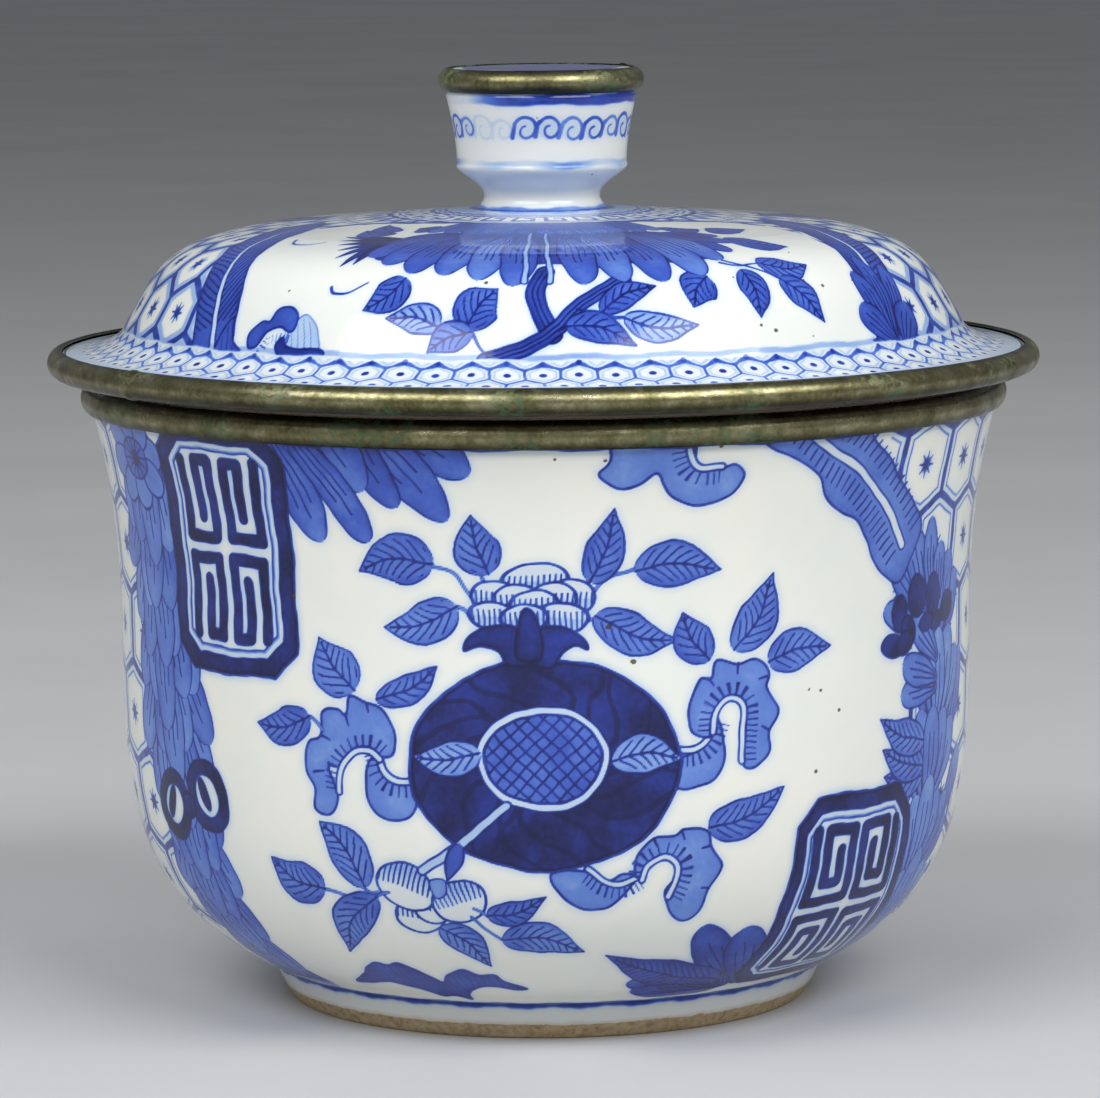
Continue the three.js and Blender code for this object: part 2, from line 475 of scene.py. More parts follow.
def feathers(pen, spine, half, length, tone=0.42, pitch=10.5, half_petal=4.5):
    """Overlapping petals that droop along a spine; each row lies over the one below it."""
    path = evenly(smooth(spine), 60)
    along = lengths(path)
    step = np.gradient(path, axis=0)
    step /= np.hypot(*step.T)[:, None]
    rows = np.arange(0, along[-1] - length * 0.4, pitch)
    for number, start in list(enumerate(rows))[::-1]:
        place = np.array([np.interp(start, along, path[:, k]) for k in (0, 1)])
        ahead = np.array([np.interp(start, along, step[:, k]) for k in (0, 1)])
        across = np.array([-ahead[1], ahead[0]])
        for offset in (-1, 1, -0.5, 0.46, 0):
            lean = offset + 0.12 * math.sin(2.4 * number + 5 * offset)
            reach = length * (1.05 - 0.3 * abs(offset) + 0.07 * math.sin(5 * number + 7 * offset))
            root = place - across * lean * half * 0.3
            tip = place - across * lean * half + ahead * reach
            pen.petal(root, tip, half_petal, tone + 0.04 * math.sin(3 * number + 4 * offset))


# ---- The bowl's painting ----

def bowl_reserve(pen):
    """The white panel that the side borders frame."""
    pen.patch(
        [
            (-88, -12), (88, -12), (84, 60), (82, 84), (75, 105), (66, 118), (60, 150), (-88, 150),
            (-92, 90), (-84, 60),
        ],
        0, edge=0,
    )


def pomegranate(pen):
    middle, radii, ribs_round = (-0.5, 72), (26, 20.4), 17
    pen.oval(middle, radii, 0.85, edge=0.9)
    for k in range(ribs_round):
        rib = []
        for share in (0.42, 0.56, 0.7, 0.84, 0.98):
            angle = 2 * math.pi * (k + 0.3 * math.sin(5 * k)) / ribs_round + share
            angle += 0.13 * math.sin(9 * share + 2.3 * k)
            rib.append((middle[0] + radii[0] * share * math.cos(angle),
                        middle[1] + radii[1] * share * math.sin(angle)))
        pen.stroke(rib[::(-1) ** k], 1.3, 0.62)
    pen.oval(middle, radii, edge=0.9)
    pen.oval((-0.7, 73.5), (12.7, 10.3), 0.03, edge=0.4)
    pen.oval((-0.7, 73.5), (11.1, 8.7), 0.5, edge=0.5, marks=lattice(2.2))
    pen.leaf((-12.6, 74.5), (-26.3, 74), 3.5, 0.3)
    pen.leaf((12.3, 73), (26, 73), 3.9, 0.3)
    pen.ribbon([(-8, 64.5), (-15, 58.5), (-25, 51)], strap(0.9), 0.2, edge=0.4)
    pen.ribbon([(-17.4, 57), (-18.6, 53.6), (-20, 49.4)], leaf_shape(1.7), 0.6)
    lobes = (((-2, 107.6), (6.2, 3.6)), ((-9.3, 104.6), (4.6, 3.2)), ((5, 104.5), (4.2, 3.4)),
             ((-5.5, 104), (4.2, 3.2)), ((1.5, 104), (4.4, 3.2)), ((-2, 103), (4.6, 2.8)),
             ((-10.2, 101.2), (4.4, 2.6)), ((3.4, 100.6), (4.8, 2.8)), ((-4, 100.5), (4.6, 2.6)))
    for centre, radii in lobes:
        pen.oval(centre, radii, lambda u, v: 0.1 + 0.12 * (v < 0), marks=upright(1.05, high=1.3))
    for sepal in ([(-15.4, 94.4), (-14.4, 97.4), (-10.4, 99.2), (-6, 98.8), (-3, 96), (-2.6, 92), (-7, 91.2),
                   (-8.8, 94), (-12.4, 95.4)],
                  [(7.8, 94.4), (6.8, 97), (3.4, 98.8), (-0.4, 98.6), (-2.6, 96), (-3, 92), (0.8, 91.2),
                   (3, 94.2), (5.4, 95.4)],
                  [(-5.4, 92.6), (-5.8, 96.6), (-5, 100), (-3.6, 102.2), (-2, 101), (-1, 97), (-1.2, 92.6)]):
        pen.patch(sepal, 0.74, edge=0.5)


def fruit_leaves(pen):
    """The leaves and stems round the pomegranate."""
    for stem in ([(-21, 110.5), (-17, 109), (-14, 104.5)], [(-17, 102.5), (-15.5, 102), (-14.5, 101)],
                 [(17, 109.5), (11, 108), (8, 104)], [(9.5, 100.5), (8, 100), (6, 100)],
                 [(-12, 109), (-11, 107), (-9.5, 106)], [(8, 108), (7, 106), (5.5, 105)],
                 [(-48, 80), (-47, 79.5), (-45, 77.5)], [(-47.5, 45.5), (-41, 44.6), (-33, 46)],
                 [(-38.5, 47), (-37, 46), (-35.5, 46)], [(-36, 45), (-35, 45.5), (-33, 46)],
                 [(-16, 41), (-13, 38), (-10, 36)], [(-12.5, 41.5), (-14, 42.5), (-15, 43)]):
        pen.ribbon(stem, strap(0.3), 0.45, edge=0.2, ink=0.8)
    leaves = (
        ((-10.5, 109), (-13.5, 120.5), 4.3), ((-21, 111), (-36, 109), 4.8),
        ((-17, 102.5), (-31, 98.5), 4.3), ((8, 107.5), (12.5, 121.5), 3.6), ((17, 109), (34, 108.6), 4.3),
        ((9.5, 101), (25.5, 95.7), 3.9), ((32, 91.5), (26, 101), 3.7), ((37, 93.3), (45, 107.5), 4.3),
        ((44.5, 90), (59, 92), 3.9), ((32, 59), (48, 65.5), 4.1), ((-37.5, 86), (-45.5, 95.8), 4.8),
        ((-33, 84.5), (-20.8, 91), 2.9), ((-48, 80), (-60.3, 78), 3.9), ((-38, 47), (-46.5, 60), 4.5),
        ((-47.5, 45.5), (-60, 51), 4.7), ((-36, 45), (-47.3, 30), 4.3), ((-23, 38.5), (-13, 27.8), 3.5),
        ((-12.5, 41.5), (-0.5, 46), 2.7), ((-10, 36), (7.6, 32.3), 4.0),
    )
    for number, (stalk, tip, half) in enumerate(leaves):
        pen.leaf(stalk, tip, half, 0.43 + 0.04 * math.sin(2.3 * number), bow=0.1 * (-1) ** number)


def fungus_scrolls(pen):
    """The curled fungus on both sides of the fruit, and the one under it."""
    mushroom(
        pen,
        [(24, 72), (25, 67.5), (29, 67), (33, 68.5), (35, 73), (34, 79), (32, 81), (31.5, 76), (28, 74)],
        [(33, 80), (31.6, 76.5), (29.3, 74.8), (25.5, 74.6)], reach=3.4,
    )
    mushroom(pen, [(28.4, 78), (27.6, 83), (29.6, 87.8), (32, 88), (33.5, 91.4), (38, 90.4), (42, 90.8),
                   (44.8, 88), (44, 85), (46.4, 81), (44.6, 77), (44.8, 73), (41.5, 70.4), (38.7, 71),
                   (38.6, 78), (38.8, 82), (35.8, 84), (33.4, 82), (32.6, 77)],
             [(32.6, 77.5), (33.2, 82), (35.8, 83.9), (38.5, 82.2), (38.8, 76), (38.6, 71.5)],
             creases=([(31.4, 88), (32.6, 86.6)], [(38, 90.6), (37.8, 88.4)], [(44.6, 87.4), (42.4, 86.8)],
                      [(44.6, 77.2), (42.8, 78)]))
    mushroom(pen, [(-35, 72), (-35.5, 66), (-34, 62.3), (-29, 61.2), (-25.5, 63.5), (-25, 69), (-28, 68.8),
                   (-31.5, 69.5), (-33, 73)],
             [(-25, 69.3), (-29, 68.8), (-32, 70.5), (-33, 74)], reach=3.2)
    mushroom(
        pen,
        [
            (-43.5, 71), (-42, 65.5), (-44, 61.4), (-47.4, 62.5), (-47.2, 66.5), (-48.8, 70), (-48, 75),
            (-45.5, 76.5), (-45, 81), (-41.5, 82), (-39.6, 81.2), (-38.5, 84.8), (-35, 83.8), (-32, 82.5),
            (-29.6, 78.5), (-30, 74), (-32.6, 73), (-35, 75), (-38.5, 74.5), (-40.4, 71),
        ],
        [(-41.6, 66), (-40.8, 70.6), (-38.4, 73.8), (-35.2, 74.3), (-32.8, 72.6)],
        creases=(
            [(-39.7, 81.4), (-39.2, 79.2)], [(-45.3, 76.6), (-43.4, 76)], [(-35, 83.8), (-34.6, 82)],
            [(-47, 69.6), (-44.6, 70)],
        ),
    )
    mushroom(
        pen,
        [
            (0.5, 51), (2.5, 46), (7, 43.2), (12, 43.6), (15.4, 46.5), (18, 50), (15, 50.6), (12, 49.4),
            (8, 51),
        ],
        [(18.5, 50), (15, 48.6), (11.5, 49), (8, 51.5)], reach=3.2,
    )
    mushroom(
        pen,
        [
            (17.6, 50), (17.8, 54.5), (20.6, 57.6), (25, 57.6), (27, 58.8), (31.8, 58.2), (32.6, 55),
            (35.2, 51), (33.2, 46), (31.4, 41), (28, 39.4), (25, 42), (23.8, 46), (25.6, 49), (25, 52),
            (22, 52.6), (19.6, 50.6),
        ],
        [(19, 49), (20, 52), (23, 53.4), (25.8, 51.8), (26, 48.5), (24.5, 45)],
        creases=(
            [(20.6, 57.4), (21.4, 55.8)], [(26.4, 58.4), (26.8, 56.6)], [(32.4, 55.4), (30.6, 55)],
            [(33.4, 46.4), (31.6, 46.8)],
        ),
    )
    mushroom(
        pen,
        [
            (12, 131), (10, 128), (13, 125.4), (17, 126), (20.5, 128.4), (22, 126), (24, 123),
            (28.5, 121.4), (33, 122.6), (35.6, 124), (37.2, 127.4), (35, 129.4), (31.4, 128.4), (27.4, 130),
            (26, 138), (12, 138),
        ],
        [(25.6, 140), (26.2, 132), (28.5, 128.8), (32.5, 129)][::-1], reach=3.4,
    )


def lower_flowers(pen):
    """The blossoms under the fruit and the leaf masses at the foot, whose deep tone is partly painted shade
    for the darker bottom of the bowl.
    """
    for centre, radii, turn in (
        ((-27, 41), (5.2, 3.8), 0), ((-24, 43), (4, 3.4), 0), ((-29, 47.4), (6.2, 5), -20),
        ((-18, 44.6), (5.8, 4.7), 15),
    ):
        pen.oval(centre, radii, lambda u, v: 0.06 + 0.05 * np.clip(v + 1, 0, 4), turn=turn,
                 marks=upright(1.05, low=-0.4))
    pen.patch([(-23.6, 49), (-20.6, 49.4), (-20.4, 46.6), (-22.8, 45.6)], 0.3, edge=0.3)
    pen.patch(
        [
            (-54.4, 17), (-51, 20), (-48, 22), (-45.4, 24.6), (-42, 26.6), (-39, 26), (-36, 27.2),
            (-32.5, 25.5), (-29, 22.5), (-26.6, 20.4), (-25, 23.4), (-20.5, 26), (-16.8, 24.4), (-13, 24.6),
            (-11, 21.6), (-5.6, 18.4), (-9, 17.6), (-14, 19.2), (-18, 18.6), (-21.6, 15), (-22, 11.6),
            (-26, 13.4), (-30, 12.6), (-34, 15.6), (-38, 17.4), (-43, 18.4), (-48, 17.4),
        ],
        0.64, hatch=(1.8, 0.3), ink=0.7,
    )
    pen.petals((((50, 15), (33, 37), 5), ((54, 16), (43.5, 35.8), 5.4), ((48, 14), (20, 20), 4.4)), 0.66)
    pen.leaf((46, 18), (12.5, 30.6), 5.4, 0.64, bow=0.05)
    pen.petal((47, 13), (22, 15.6), 3.6, 0.68)


def hanging_petals(pen):
    """The flower that hangs from the brass between the left tablet and the middle."""
    for root, tip, half, tone in (
        ((-34, 144), (-14, 128.4), 4.6, 0.54), ((-38, 144), (-18.2, 119.6), 4.6, 0.5),
        ((-42, 146), (-27.5, 121.6), 3.7, 0.58), ((-47, 146), (-34, 124.8), 5.2, 0.5),
        ((-50, 140), (-33.4, 114.8), 3.5, 0.52), ((-53, 136), (-43.3, 114.2), 3.9, 0.48),
    ):
        pen.petal(root, tip, half, tone)


def long_leaf(pen):
    """The big veined leaf at the top right."""
    pen.patch(
        [
            (41, 136), (43, 132), (49, 129), (53.6, 126), (56, 121), (60, 118), (64.5, 116.4),
            (68.2, 111.6), (70.6, 107), (74.6, 104), (80, 103), (85.6, 112), (82.4, 117.6), (76, 123),
            (72, 128), (66, 132), (60, 138),
        ],
        0.42,
    )
    midrib = [(48, 136), (57, 130.4), (65, 125.2), (72, 118.6), (79.4, 110)]
    pen.ribbon(midrib, lambda t: 4.2 + 3.4 * np.minimum(2.5 * t, 1), edge=0,
               marks=(comb(1.8, 0.42, 0.98), comb(1.8, -0.8, -0.25)))
    pen.ribbon(midrib, strap(0.95), 0.03, edge=0.4)


def left_border(pen):
    """A chain of feathered leaves with a round flower at its top."""
    feathers(pen, [(-84.5, 66), (-84, 46), (-82.5, 30), (-80, 4)], 10, 22, 0.46)
    feathers(pen, [(-92, 132), (-92.5, 112), (-90.5, 90), (-86, 62)], 12, 25, 0.42)
    for k in range(8):
        turn = 45 * k + 10
        angle = math.radians(turn)
        pen.oval((-95 + 7.2 * math.cos(angle), 127 + 6.4 * math.sin(angle)), (4.2, 3.4), 0.4, turn=turn)
    pen.oval((-95, 127), (5, 4.4), 0.5, marks=lambda u, v: star(u, v, 5, 12))


def bow(pen, loops, knot):
    """A dark cord tied in loops, each (centre, radii, turn), with a knot."""
    for centre, radii, turn in loops:
        pen.oval(centre, radii, 0.88, edge=0.4, turn=turn)
        pen.oval(centre, (radii[0] - 2.9, radii[1] - 2.9), 0.04, edge=0.4, turn=turn)
        pen.oval((centre[0] - 0.8, centre[1] + 0.4), (1.3, 3.3), 0.88, edge=0.4, turn=turn)
    pen.oval(knot, (2.4, 2.6), 0.9)


def right_border(pen):
    """Leaves and upright petals round the right tablet."""
    pen.petals((((100, 66), (110, 86), 4), ((104, 52), (112, 66), 4), ((98, 40), (108, 52), 4)), 0.45)
    for number in range(7):
        level = 106 - 15.5 * number
        sway = 1.5 * math.sin(1.9 * number)
        for side, rise in ((-1.75, -3), (1.75, -3), (-0.9, 0), (0.9, 0), (0, 2)):
            root = (94 + sway + side * 1.5, level - 17)
            tip = (95 + sway + side * 6.2, level + rise + 1.2 * math.sin(5 * number + 3 * side))
            pen.petal(root, tip, 4.1, 0.4 + 0.04 * math.sin(4 * number + side), lines=2)
    pen.petals((((88, 96), (77, 107.5), 4.4), ((90, 96), (83, 112), 4.2), ((93, 96), (89.6, 114), 3),
                ((86, 92), (74.6, 98), 3), ((96, 98), (95, 109), 2.8),
                ((94, 80), (80.5, 80), 3.4), ((94, 82), (80.8, 86), 3.6), ((95, 86), (85, 95), 3.6)), 0.42)
    for root, tip, half in (
        ((90, 63), (75.6, 64.6), 3.4), ((90, 65), (74.4, 70), 3.6), ((90, 70), (73.6, 76), 3.8)
    ):
        pen.leaf(root, tip, half, 0.42)
    for centre, radii, turn in (
        ((86, 99), (3.6, 4.1), 0), ((93, 98.5), (3.1, 4.5), 0), ((100.2, 95.4), (3.6, 2.7), 30),
        ((79.8, 96), (2.5, 3.7), 10), ((83.4, 92.6), (2.2, 3), 40), ((77.6, 89.8), (3.8, 2.3), -5),
        ((82, 90.2), (3.6, 2), 25), ((90.5, 93.4), (3, 1.8), 0), ((95.4, 93), (3, 1.6), 20),
    ):
        pen.oval(centre, radii, 0.86, edge=0.4, turn=turn)


def bowl_panel(pen):
    hanging_petals(pen)
    left_border(pen)
    bow(pen, (((-77, 61.6), (6.7, 7.5), 20), ((-90.2, 58.2), (6.6, 7.2), -20)), (-84, 59))
    right_border(pen)
    long_leaf(pen)
    lower_flowers(pen)
    plaque(pen, ((-84, 87), (-50.5, 87), (-50.5, 135.6), (-84, 135.6)))
    plaque(pen, ((50.5, 14), (95, 14), (85, 62.4), (53, 62.4)))
    fungus_scrolls(pen)
    fruit_leaves(pen)
    pomegranate(pen)
    pen.pinholes([(54, 84), (61.5, 79.5), (56, 68), (16.5, 92), (2, 131.5), (11, 131), (32, 133), (12, 98.5),
                  (85, 64.5), (57, 83.4), (-50.6, 103)])


def paint_bowl(canvas):
    diaper(canvas, -2.5, canvas.height, 32, 17, 1.6, rule=1.6, ink=0.8)
    for middle, hand in ((0, -1), (canvas.width / 2, 1)):
        pen = Pen(canvas, middle, hand, rise=-0.4)
        bowl_reserve(pen)
        bowl_panel(pen)
    index, x, y = canvas.everywhere(0, 10.6)
    canvas.cover(index, soft(10 - y), 0.02)
    canvas.tint(index, 0.78 * np.exp(-((y - 8.4) / 1.2) ** 4))
    index, x, y = canvas.everywhere(canvas.height - 3, canvas.height)
    canvas.ink(index, soft(y - canvas.height + 1.2), 0.8)


# ---- The lid's painting ----

def rim_band(canvas):
    """Small dotted cells between pale bands, all round the flange."""
    index, x, y = canvas.everywhere(0, 13.4)
    canvas.cover(index, soft(13.2 - y), 0.14)
    small = dict(rule=0.7, inner=0.9, shade=0.2, spot=0.7, dot=0.7, ink=0.6)
    diaper(canvas, 1.1, 12.4, 80, 5.2, 1.1, **small)
    index, x, y = canvas.everywhere(0, 14.6)
    canvas.cover(index, soft(3.4 - y), 0.14)
    canvas.cover(index, soft(y - 12.6) * soft(13.2 - y), 0.03)
    wide = canvas.width / 80
    peak = np.abs(((x / wide) % 1) - 0.5) * wide
    canvas.ink(index, soft(0.5 - np.hypot(peak - wide / 2, y - 12.2) * 0.8), 0.8)
    canvas.ink(index, soft(0.4 - np.abs(y - 11.3 - 0.35 * (peak - wide / 4))), 0.6)
    canvas.tint(index, 0.26 * soft(0.6 - np.abs(y - 13.6)))


def crown_bands(canvas):
    """The rings and the key fret that close the painting round the knob."""
    top = canvas.height
    index, x, y = canvas.everywhere(top - 19, top)
    canvas.cover(index, soft(y - (top - 17.5)), 0.05)
    for level, width, tone in ((top - 17.3, 1.2, 0.7), (top - 15.4, 0.5, 0.55), (top - 7.4, 0.6, 0.55),
                               (top - 6.2, 0.9, 0.6)):
        canvas.tint(index, tone * soft(width / 2 - np.abs(y - level)))
    # Each key is a square hook: its strokes are wide because the ring is small up here.
    keys, key_foot, key_height = 26, top - 14.4, 6
    turn, rise = (x / canvas.width * keys) % 1, (y - key_foot) / key_height
    stroke = ((np.abs(rise - 0.93) < 0.09) | ((np.abs(turn - 0.12) < 0.07) & (rise < 0.95))
              | ((np.abs(rise - 0.08) < 0.09) & (turn > 0.1) & (turn < 0.75))
              | ((np.abs(turn - 0.7) < 0.07) & (rise < 0.62)) | ((np.abs(rise - 0.58) < 0.08) & (turn > 0.38)
                                                              & (turn < 0.75)))
    canvas.tint(index, 0.6 * (stroke & (rise > 0) & (rise < 1.02)))
    canvas.tint(index, 0.24 * soft(y - (top - 5.4)))
    canvas.tint(index, 0.62 * soft(y - (top - 1.4)))


def lid_reserve(pen):
    pen.patch(
        [
            (-60, 13.4), (-72, 26), (-84, 44), (-97, 58), (-90, 68), (-60, 74), (-25, 76.5), (0, 77),
            (25, 76.5), (60, 74), (88, 67), (94, 58), (84, 42), (78, 28), (66, 13.4),
        ],
        0.02, edge=0,
    )
    pen.ribbon(
        [(-99, 60), (-92, 69), (-60, 75), (-25, 77.6), (0, 78), (25, 77.6), (60, 75), (90, 68), (97, 59)],
        strap(0.8), 0.66, edge=0.3,
    )


def blossom(pen):
    """The great drooping flower, petal by petal, from the back ones to the front ones."""
    for k in range(-6, 7):
        place = 7.2 * k + 1
        pen.petal((place * 0.95, 80), (place * 1.06, 58 + 0.12 * abs(place)), 4.6, 0.52, lines=3)
    pen.patch(
        [
            (-47, 52), (-43, 41), (-36, 38), (0, 37), (36, 37), (42, 41), (47, 54), (40, 63), (0, 62),
            (-40, 63),
        ],
        0.66, edge=0, hatch=(2.6, 0.0),
    )
    for place, low in (
        (-43.5, 39.5), (43, 37), (-37, 36.2), (36, 31.6), (-30, 33.4), (26.6, 30.6), (-22, 33),
        (17.4, 30.6), (-14, 31.6), (9, 30.4), (-6, 30),
    ):
        pen.petal((place * 0.84, 61), (place, low), 4.9, 0.5 + 0.05 * math.sin(place), lines=4)
    for place in (-4.2, 1.2):
        pen.ribbon([(place, 63), (place, 50), (place + 0.3, 31)], strap(0.7), 0.26, edge=0.35)


def branch(pen):
    pen.ribbon([(0.4, 34), (-1.4, 28), (0.2, 22), (1.6, 19.4)], strap(1.9), 0.68, marks=(ribs(2, 1.2),))
    pen.ribbon([(-11, 13.6), (-4, 16.2), (2.4, 20.5), (8, 25.6), (17.6, 31.6)], strap(1.5), 0.62,
               marks=(ribs(2, 1.2),))
    for stem in ([(-14, 20), (-12.4, 17), (-10.5, 14.5)], [(-20.5, 20.5), (-18, 20.6), (-15.4, 20.2)],
                 [(4.5, 21), (3.5, 20.5), (3, 20)], [(12, 23.5), (10, 23.5), (7, 24.6)],
                 [(16.5, 22.5), (14, 22.4), (8, 23)], [(-81, 48), (-77, 45), (-71, 45.4), (-67, 48)],
                 [(-47, 29), (-45.6, 27.6), (-42, 28), (-39, 30.4)], [(42, 36), (46, 34.5), (53, 34.6)],
                 [(43, 37), (48, 34), (54, 30)], [(46, 44), (51, 48), (56, 50)]):
        pen.stroke(stem, 0.65, 0.85)


def lid_leaves(pen):
    leaves = (
        ((-30.5, 32), (-37.4, 23.6), 3.9, 0.5), ((-20.5, 20.5), (-32, 22.5), 3.3, 0.3),
        ((-15.5, 20.5), (-9.2, 29.4), 4.7, 0.5), ((-14, 20), (-22.4, 15.3), 3.2, 0.42),
        ((12, 23.5), (24, 29.7), 2.8, 0.5), ((16.5, 22.5), (31.5, 20.4), 3.2, 0.28),
        ((4.5, 21), (18, 16.8), 3.3, 0.5), ((37, 31.4), (31, 24), 3.9, 0.52),
        ((46, 33), (45.5, 21.2), 3.4, 0.5), ((51.5, 34.8), (65, 33), 3.6, 0.5),
        ((54.5, 30), (61, 19.2), 3.4, 0.5), ((56, 50), (68.4, 41.2), 4.6, 0.56),
        ((61, 56), (79.4, 57.6), 3.6, 0.56), ((48, 65), (63, 62), 3.6, 0.56),
        ((-55, 59), (-73, 61.5), 3.4, 0.56), ((-46, 64), (-56, 68), 4, 0.6),
        ((-58, 63), (-78, 69.4), 3.1, 0.56),
    )
    for number, (stalk, tip, half, tone) in enumerate(leaves):
        pen.leaf(stalk, tip, half, tone, bow=0.1 * (-1) ** number)
    for tip in ((-68, 54), (-64, 50), (-60, 46.4), (-56, 43), (-53, 38.6), (-49, 35), (-46, 36)):
        pen.ribbon([(-42, 54), ((tip[0] - 42) / 2 - 1, (tip[1] + 54) / 2), tip], leaf_shape(2.1), 0.84)
    pen.petals((((40, 56), (50, 41), 3.4), ((41, 58), (56, 47), 3.6), ((42, 60), (59, 54), 3.4)), 0.66)


def scholar_rock(pen):
    pen.patch(
        [(-53.6, 16), (-53.2, 20), (-51, 22.6), (-48.4, 21.4), (-46.6, 18.6), (-45.6, 15), (-50, 14.6)],
        0.2, edge=0.35, hatch=(1.5, 0.4), ink=0.6,
    )
    pen.patch(
        [
            (-62.6, 14.8), (-63.4, 18), (-61.4, 20.4), (-59.4, 20.6), (-58.6, 23), (-55.6, 23.8),
            (-53, 22.4), (-52.6, 19.4), (-54, 18.8), (-56.4, 19.4), (-59, 18.2), (-60.4, 15.2),
        ],
        0.56,
    )
    pen.fringe([(-52.8, 19), (-56.4, 18.8), (-59.2, 17.6), (-60.6, 14.6)], 2.6)
    pen.patch(
        [(-54.6, 17.4), (-53, 15.8), (-49, 15.4), (-45, 15.2), (-44.4, 13.4), (-52.4, 13.2), (-55.6, 15.4)],
        0.7,
    )


def lid_feather(pen, spine, half, tone=0.56):
    """A long feathered leaf with a pale midrib."""
    pen.ribbon(spine, lambda t: half * np.sqrt((1 - t**6).clip(0)), tone,
               marks=(veins(1.9, 1.1, 0.96, rib=0, width=0.22),))
    pen.ribbon(spine, lambda t: 0.85 * (1 - 0.7 * t), 0.1, edge=0.4)


def lid_borders(pen):
    """The leaves that bound the panel on both sides."""
    lid_feather(
        pen,
        [(-72.4, 12), (-74.6, 18), (-78.4, 26), (-85, 36), (-94.6, 46.6), (-106, 54.6), (-123, 61)],
        6.2,
    )
    pen.patch([(-70, 21), (-67.6, 16.6), (-64, 13.2), (-72, 13)], 0.56, hatch=(1.6, 0.4))
    lid_feather(pen, [(80, 12), (83, 25), (89, 36), (98, 46), (109, 54.6), (124, 61)], 6.2)
    pen.petals((((83, 16), (91, 31), 2.7), ((81, 16), (84, 34), 2.9), ((80, 15), (77, 30), 3.0),
                ((84, 14), (90, 21.4), 3.9), ((80, 14), (73, 22), 3.6)), 0.56)


def paint_lid(canvas):
    diaper(canvas, 13.6, canvas.height, 38, 11.8, 2.2, rule=1.6, inner=1.4, spot=2.4, shade=0.24, halo=0.7,
           ink=0.8)
    for middle, hand in ((0, -1), (canvas.width / 2, 1)):
        pen = Pen(canvas, middle, hand, rise=-0.9)
        lid_reserve(pen)
        lid_borders(pen)
        branch(pen)
        lid_leaves(pen)
        blossom(pen)
        scholar_rock(pen)
        pen.pinholes(
            [
                (43, 31), (48, 24), (45, 19.5), (48, 18.5), (56.5, 16.5), (65.5, 38.5), (60.5, 29),
                (65, 27), (75, 28), (-57.5, 27.5), (-20, 34), (-12, 31),
            ],
            0.34,
        )
    rim_band(canvas)
    crown_bands(canvas)


# ---- The knob's painting ----

def paint_knob(canvas):
    """Rings and a row of running curls, worn away in one place."""
    index, x, y = canvas.everywhere(0, canvas.height)
    turn = 2 * math.pi * (x / canvas.width - 0.5)
    broken = 0.5 + 0.5 * np.sin(5 * turn) * np.sin(2 * turn + 1)
    shown = np.clip(1.6 * np.cos(turn - 0.85) + 0.4, 0.12, 1)
    rings = ((0.34, 0.8 - y), (0.34 * broken, 0.8 - np.abs(y - 12.2)),
             (0.66 * shown, 1.1 - np.abs(y - 25.4)), (0.72, y - 33.4))
    for tone, depth in rings:
        canvas.tint(index, tone * np.clip(depth / 0.5 + 0.5, 0, 1))
    pen = Pen(canvas, canvas.width / 2)
    curls = 24
    wide = canvas.width / curls
    for k in range(curls):
        strength = 0.24 if k in (9, 10) else 0.58 + 0.08 * math.sin(3.7 * k)
        grown = 1 + 0.14 * math.sin(2.9 * k)
        middle = (k - curls / 2 + 0.35) * wide
        angle = np.radians(np.linspace(150, -260, 16))
        reach = grown * np.linspace(2.8, 0.7, 16)
        pen.oval((middle, 19.3), (2.2, 2.2), 0.2 * strength, edge=0)
        curl = np.stack([middle + 0.9 * reach * np.cos(angle), 19.2 + reach * np.sin(angle)], 1)
        pen.stroke(curl, 0.8, strength)
        pen.stroke([(middle - 2.8, 17.8), (middle - 2.2, 20.9)], 1.1, strength)
    pen.pinholes([(-1, 21.6), (12, 9.4)], 0.3)


# ---- Profiles, from the frame ----

lid_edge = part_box("lid_rim_band")[1].x / MM
crown_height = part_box("lid_knob")[0].z / MM
knob_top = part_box("lid_knob")[1].z / MM

FOOT_BARE = 3.1  # height of the unglazed band round the foot
BELLY_RADIUS = 85.9
LIP = (90.0, 122.6)  # centre of the bowl's round lip
LIP_RADIUS, LIP_ROLL = 2.1, 3.4
FLANGE = (lid_edge - 2.7, 129.75)  # centre of the strip rolled over the lid's flange
FLANGE_ROLL = 2.7
FLANGE_EDGE, FLANGE_EDGE_RADIUS = (96.2, 129.75), 1.95  # the flange's round edge, behind the strip
DOME_FOOT = (85.0, 135.8)
SHOULDER = (58.0, 156.1)
SEAT_RADIUS = 13.6  # the flat on the crown where the knob stands
KNOB_RIM, KNOB_SHOULDER = 18.95, 186.7
KNOB_STRIP = (18.27, 185.5)
KNOB_ROLL = 2.5

FOOT_RING = 48.0, 51.8  # inner and outer radius of what the bowl stands on
FOOT_RECESS = 6.2
BOWL_WALL, BOWL_FLOOR = 4.2, 11.5
DOME_WALL = 4.0
SHEET, LAP = 0.5, 0.25  # thickness of the brass, and how far it stands up where it laps over itself
GAP = 0.25  # clearance between the putty and what it beds
VENT = 2.0  # radius of the air hole under the knob
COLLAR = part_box("lid_body")[0].z / MM  # lowest edge of the collar that drops into the bowl
SEAT = LIP[1] + LIP_ROLL * math.sin(math.radians(75))  # where the lid rests on the brass


def bowl_wall():
    """From the foot's outer edge up to the lip."""
    belly = bend([(56.2, 7.4), (84.2, 21.5), (BELLY_RADIUS, 38.5), (BELLY_RADIUS, 76)], 60)
    foot = [(52.4, 0.35), (54.2, FOOT_BARE), (55.7, 6.5), (56.0, 7.1)]
    return joined(foot, belly, bowl_flare())


def bowl_flare():
    return bend([(BELLY_RADIUS, 76), (BELLY_RADIUS, 92.7), (87.7, 109.1), (91.6, 121)], 30)


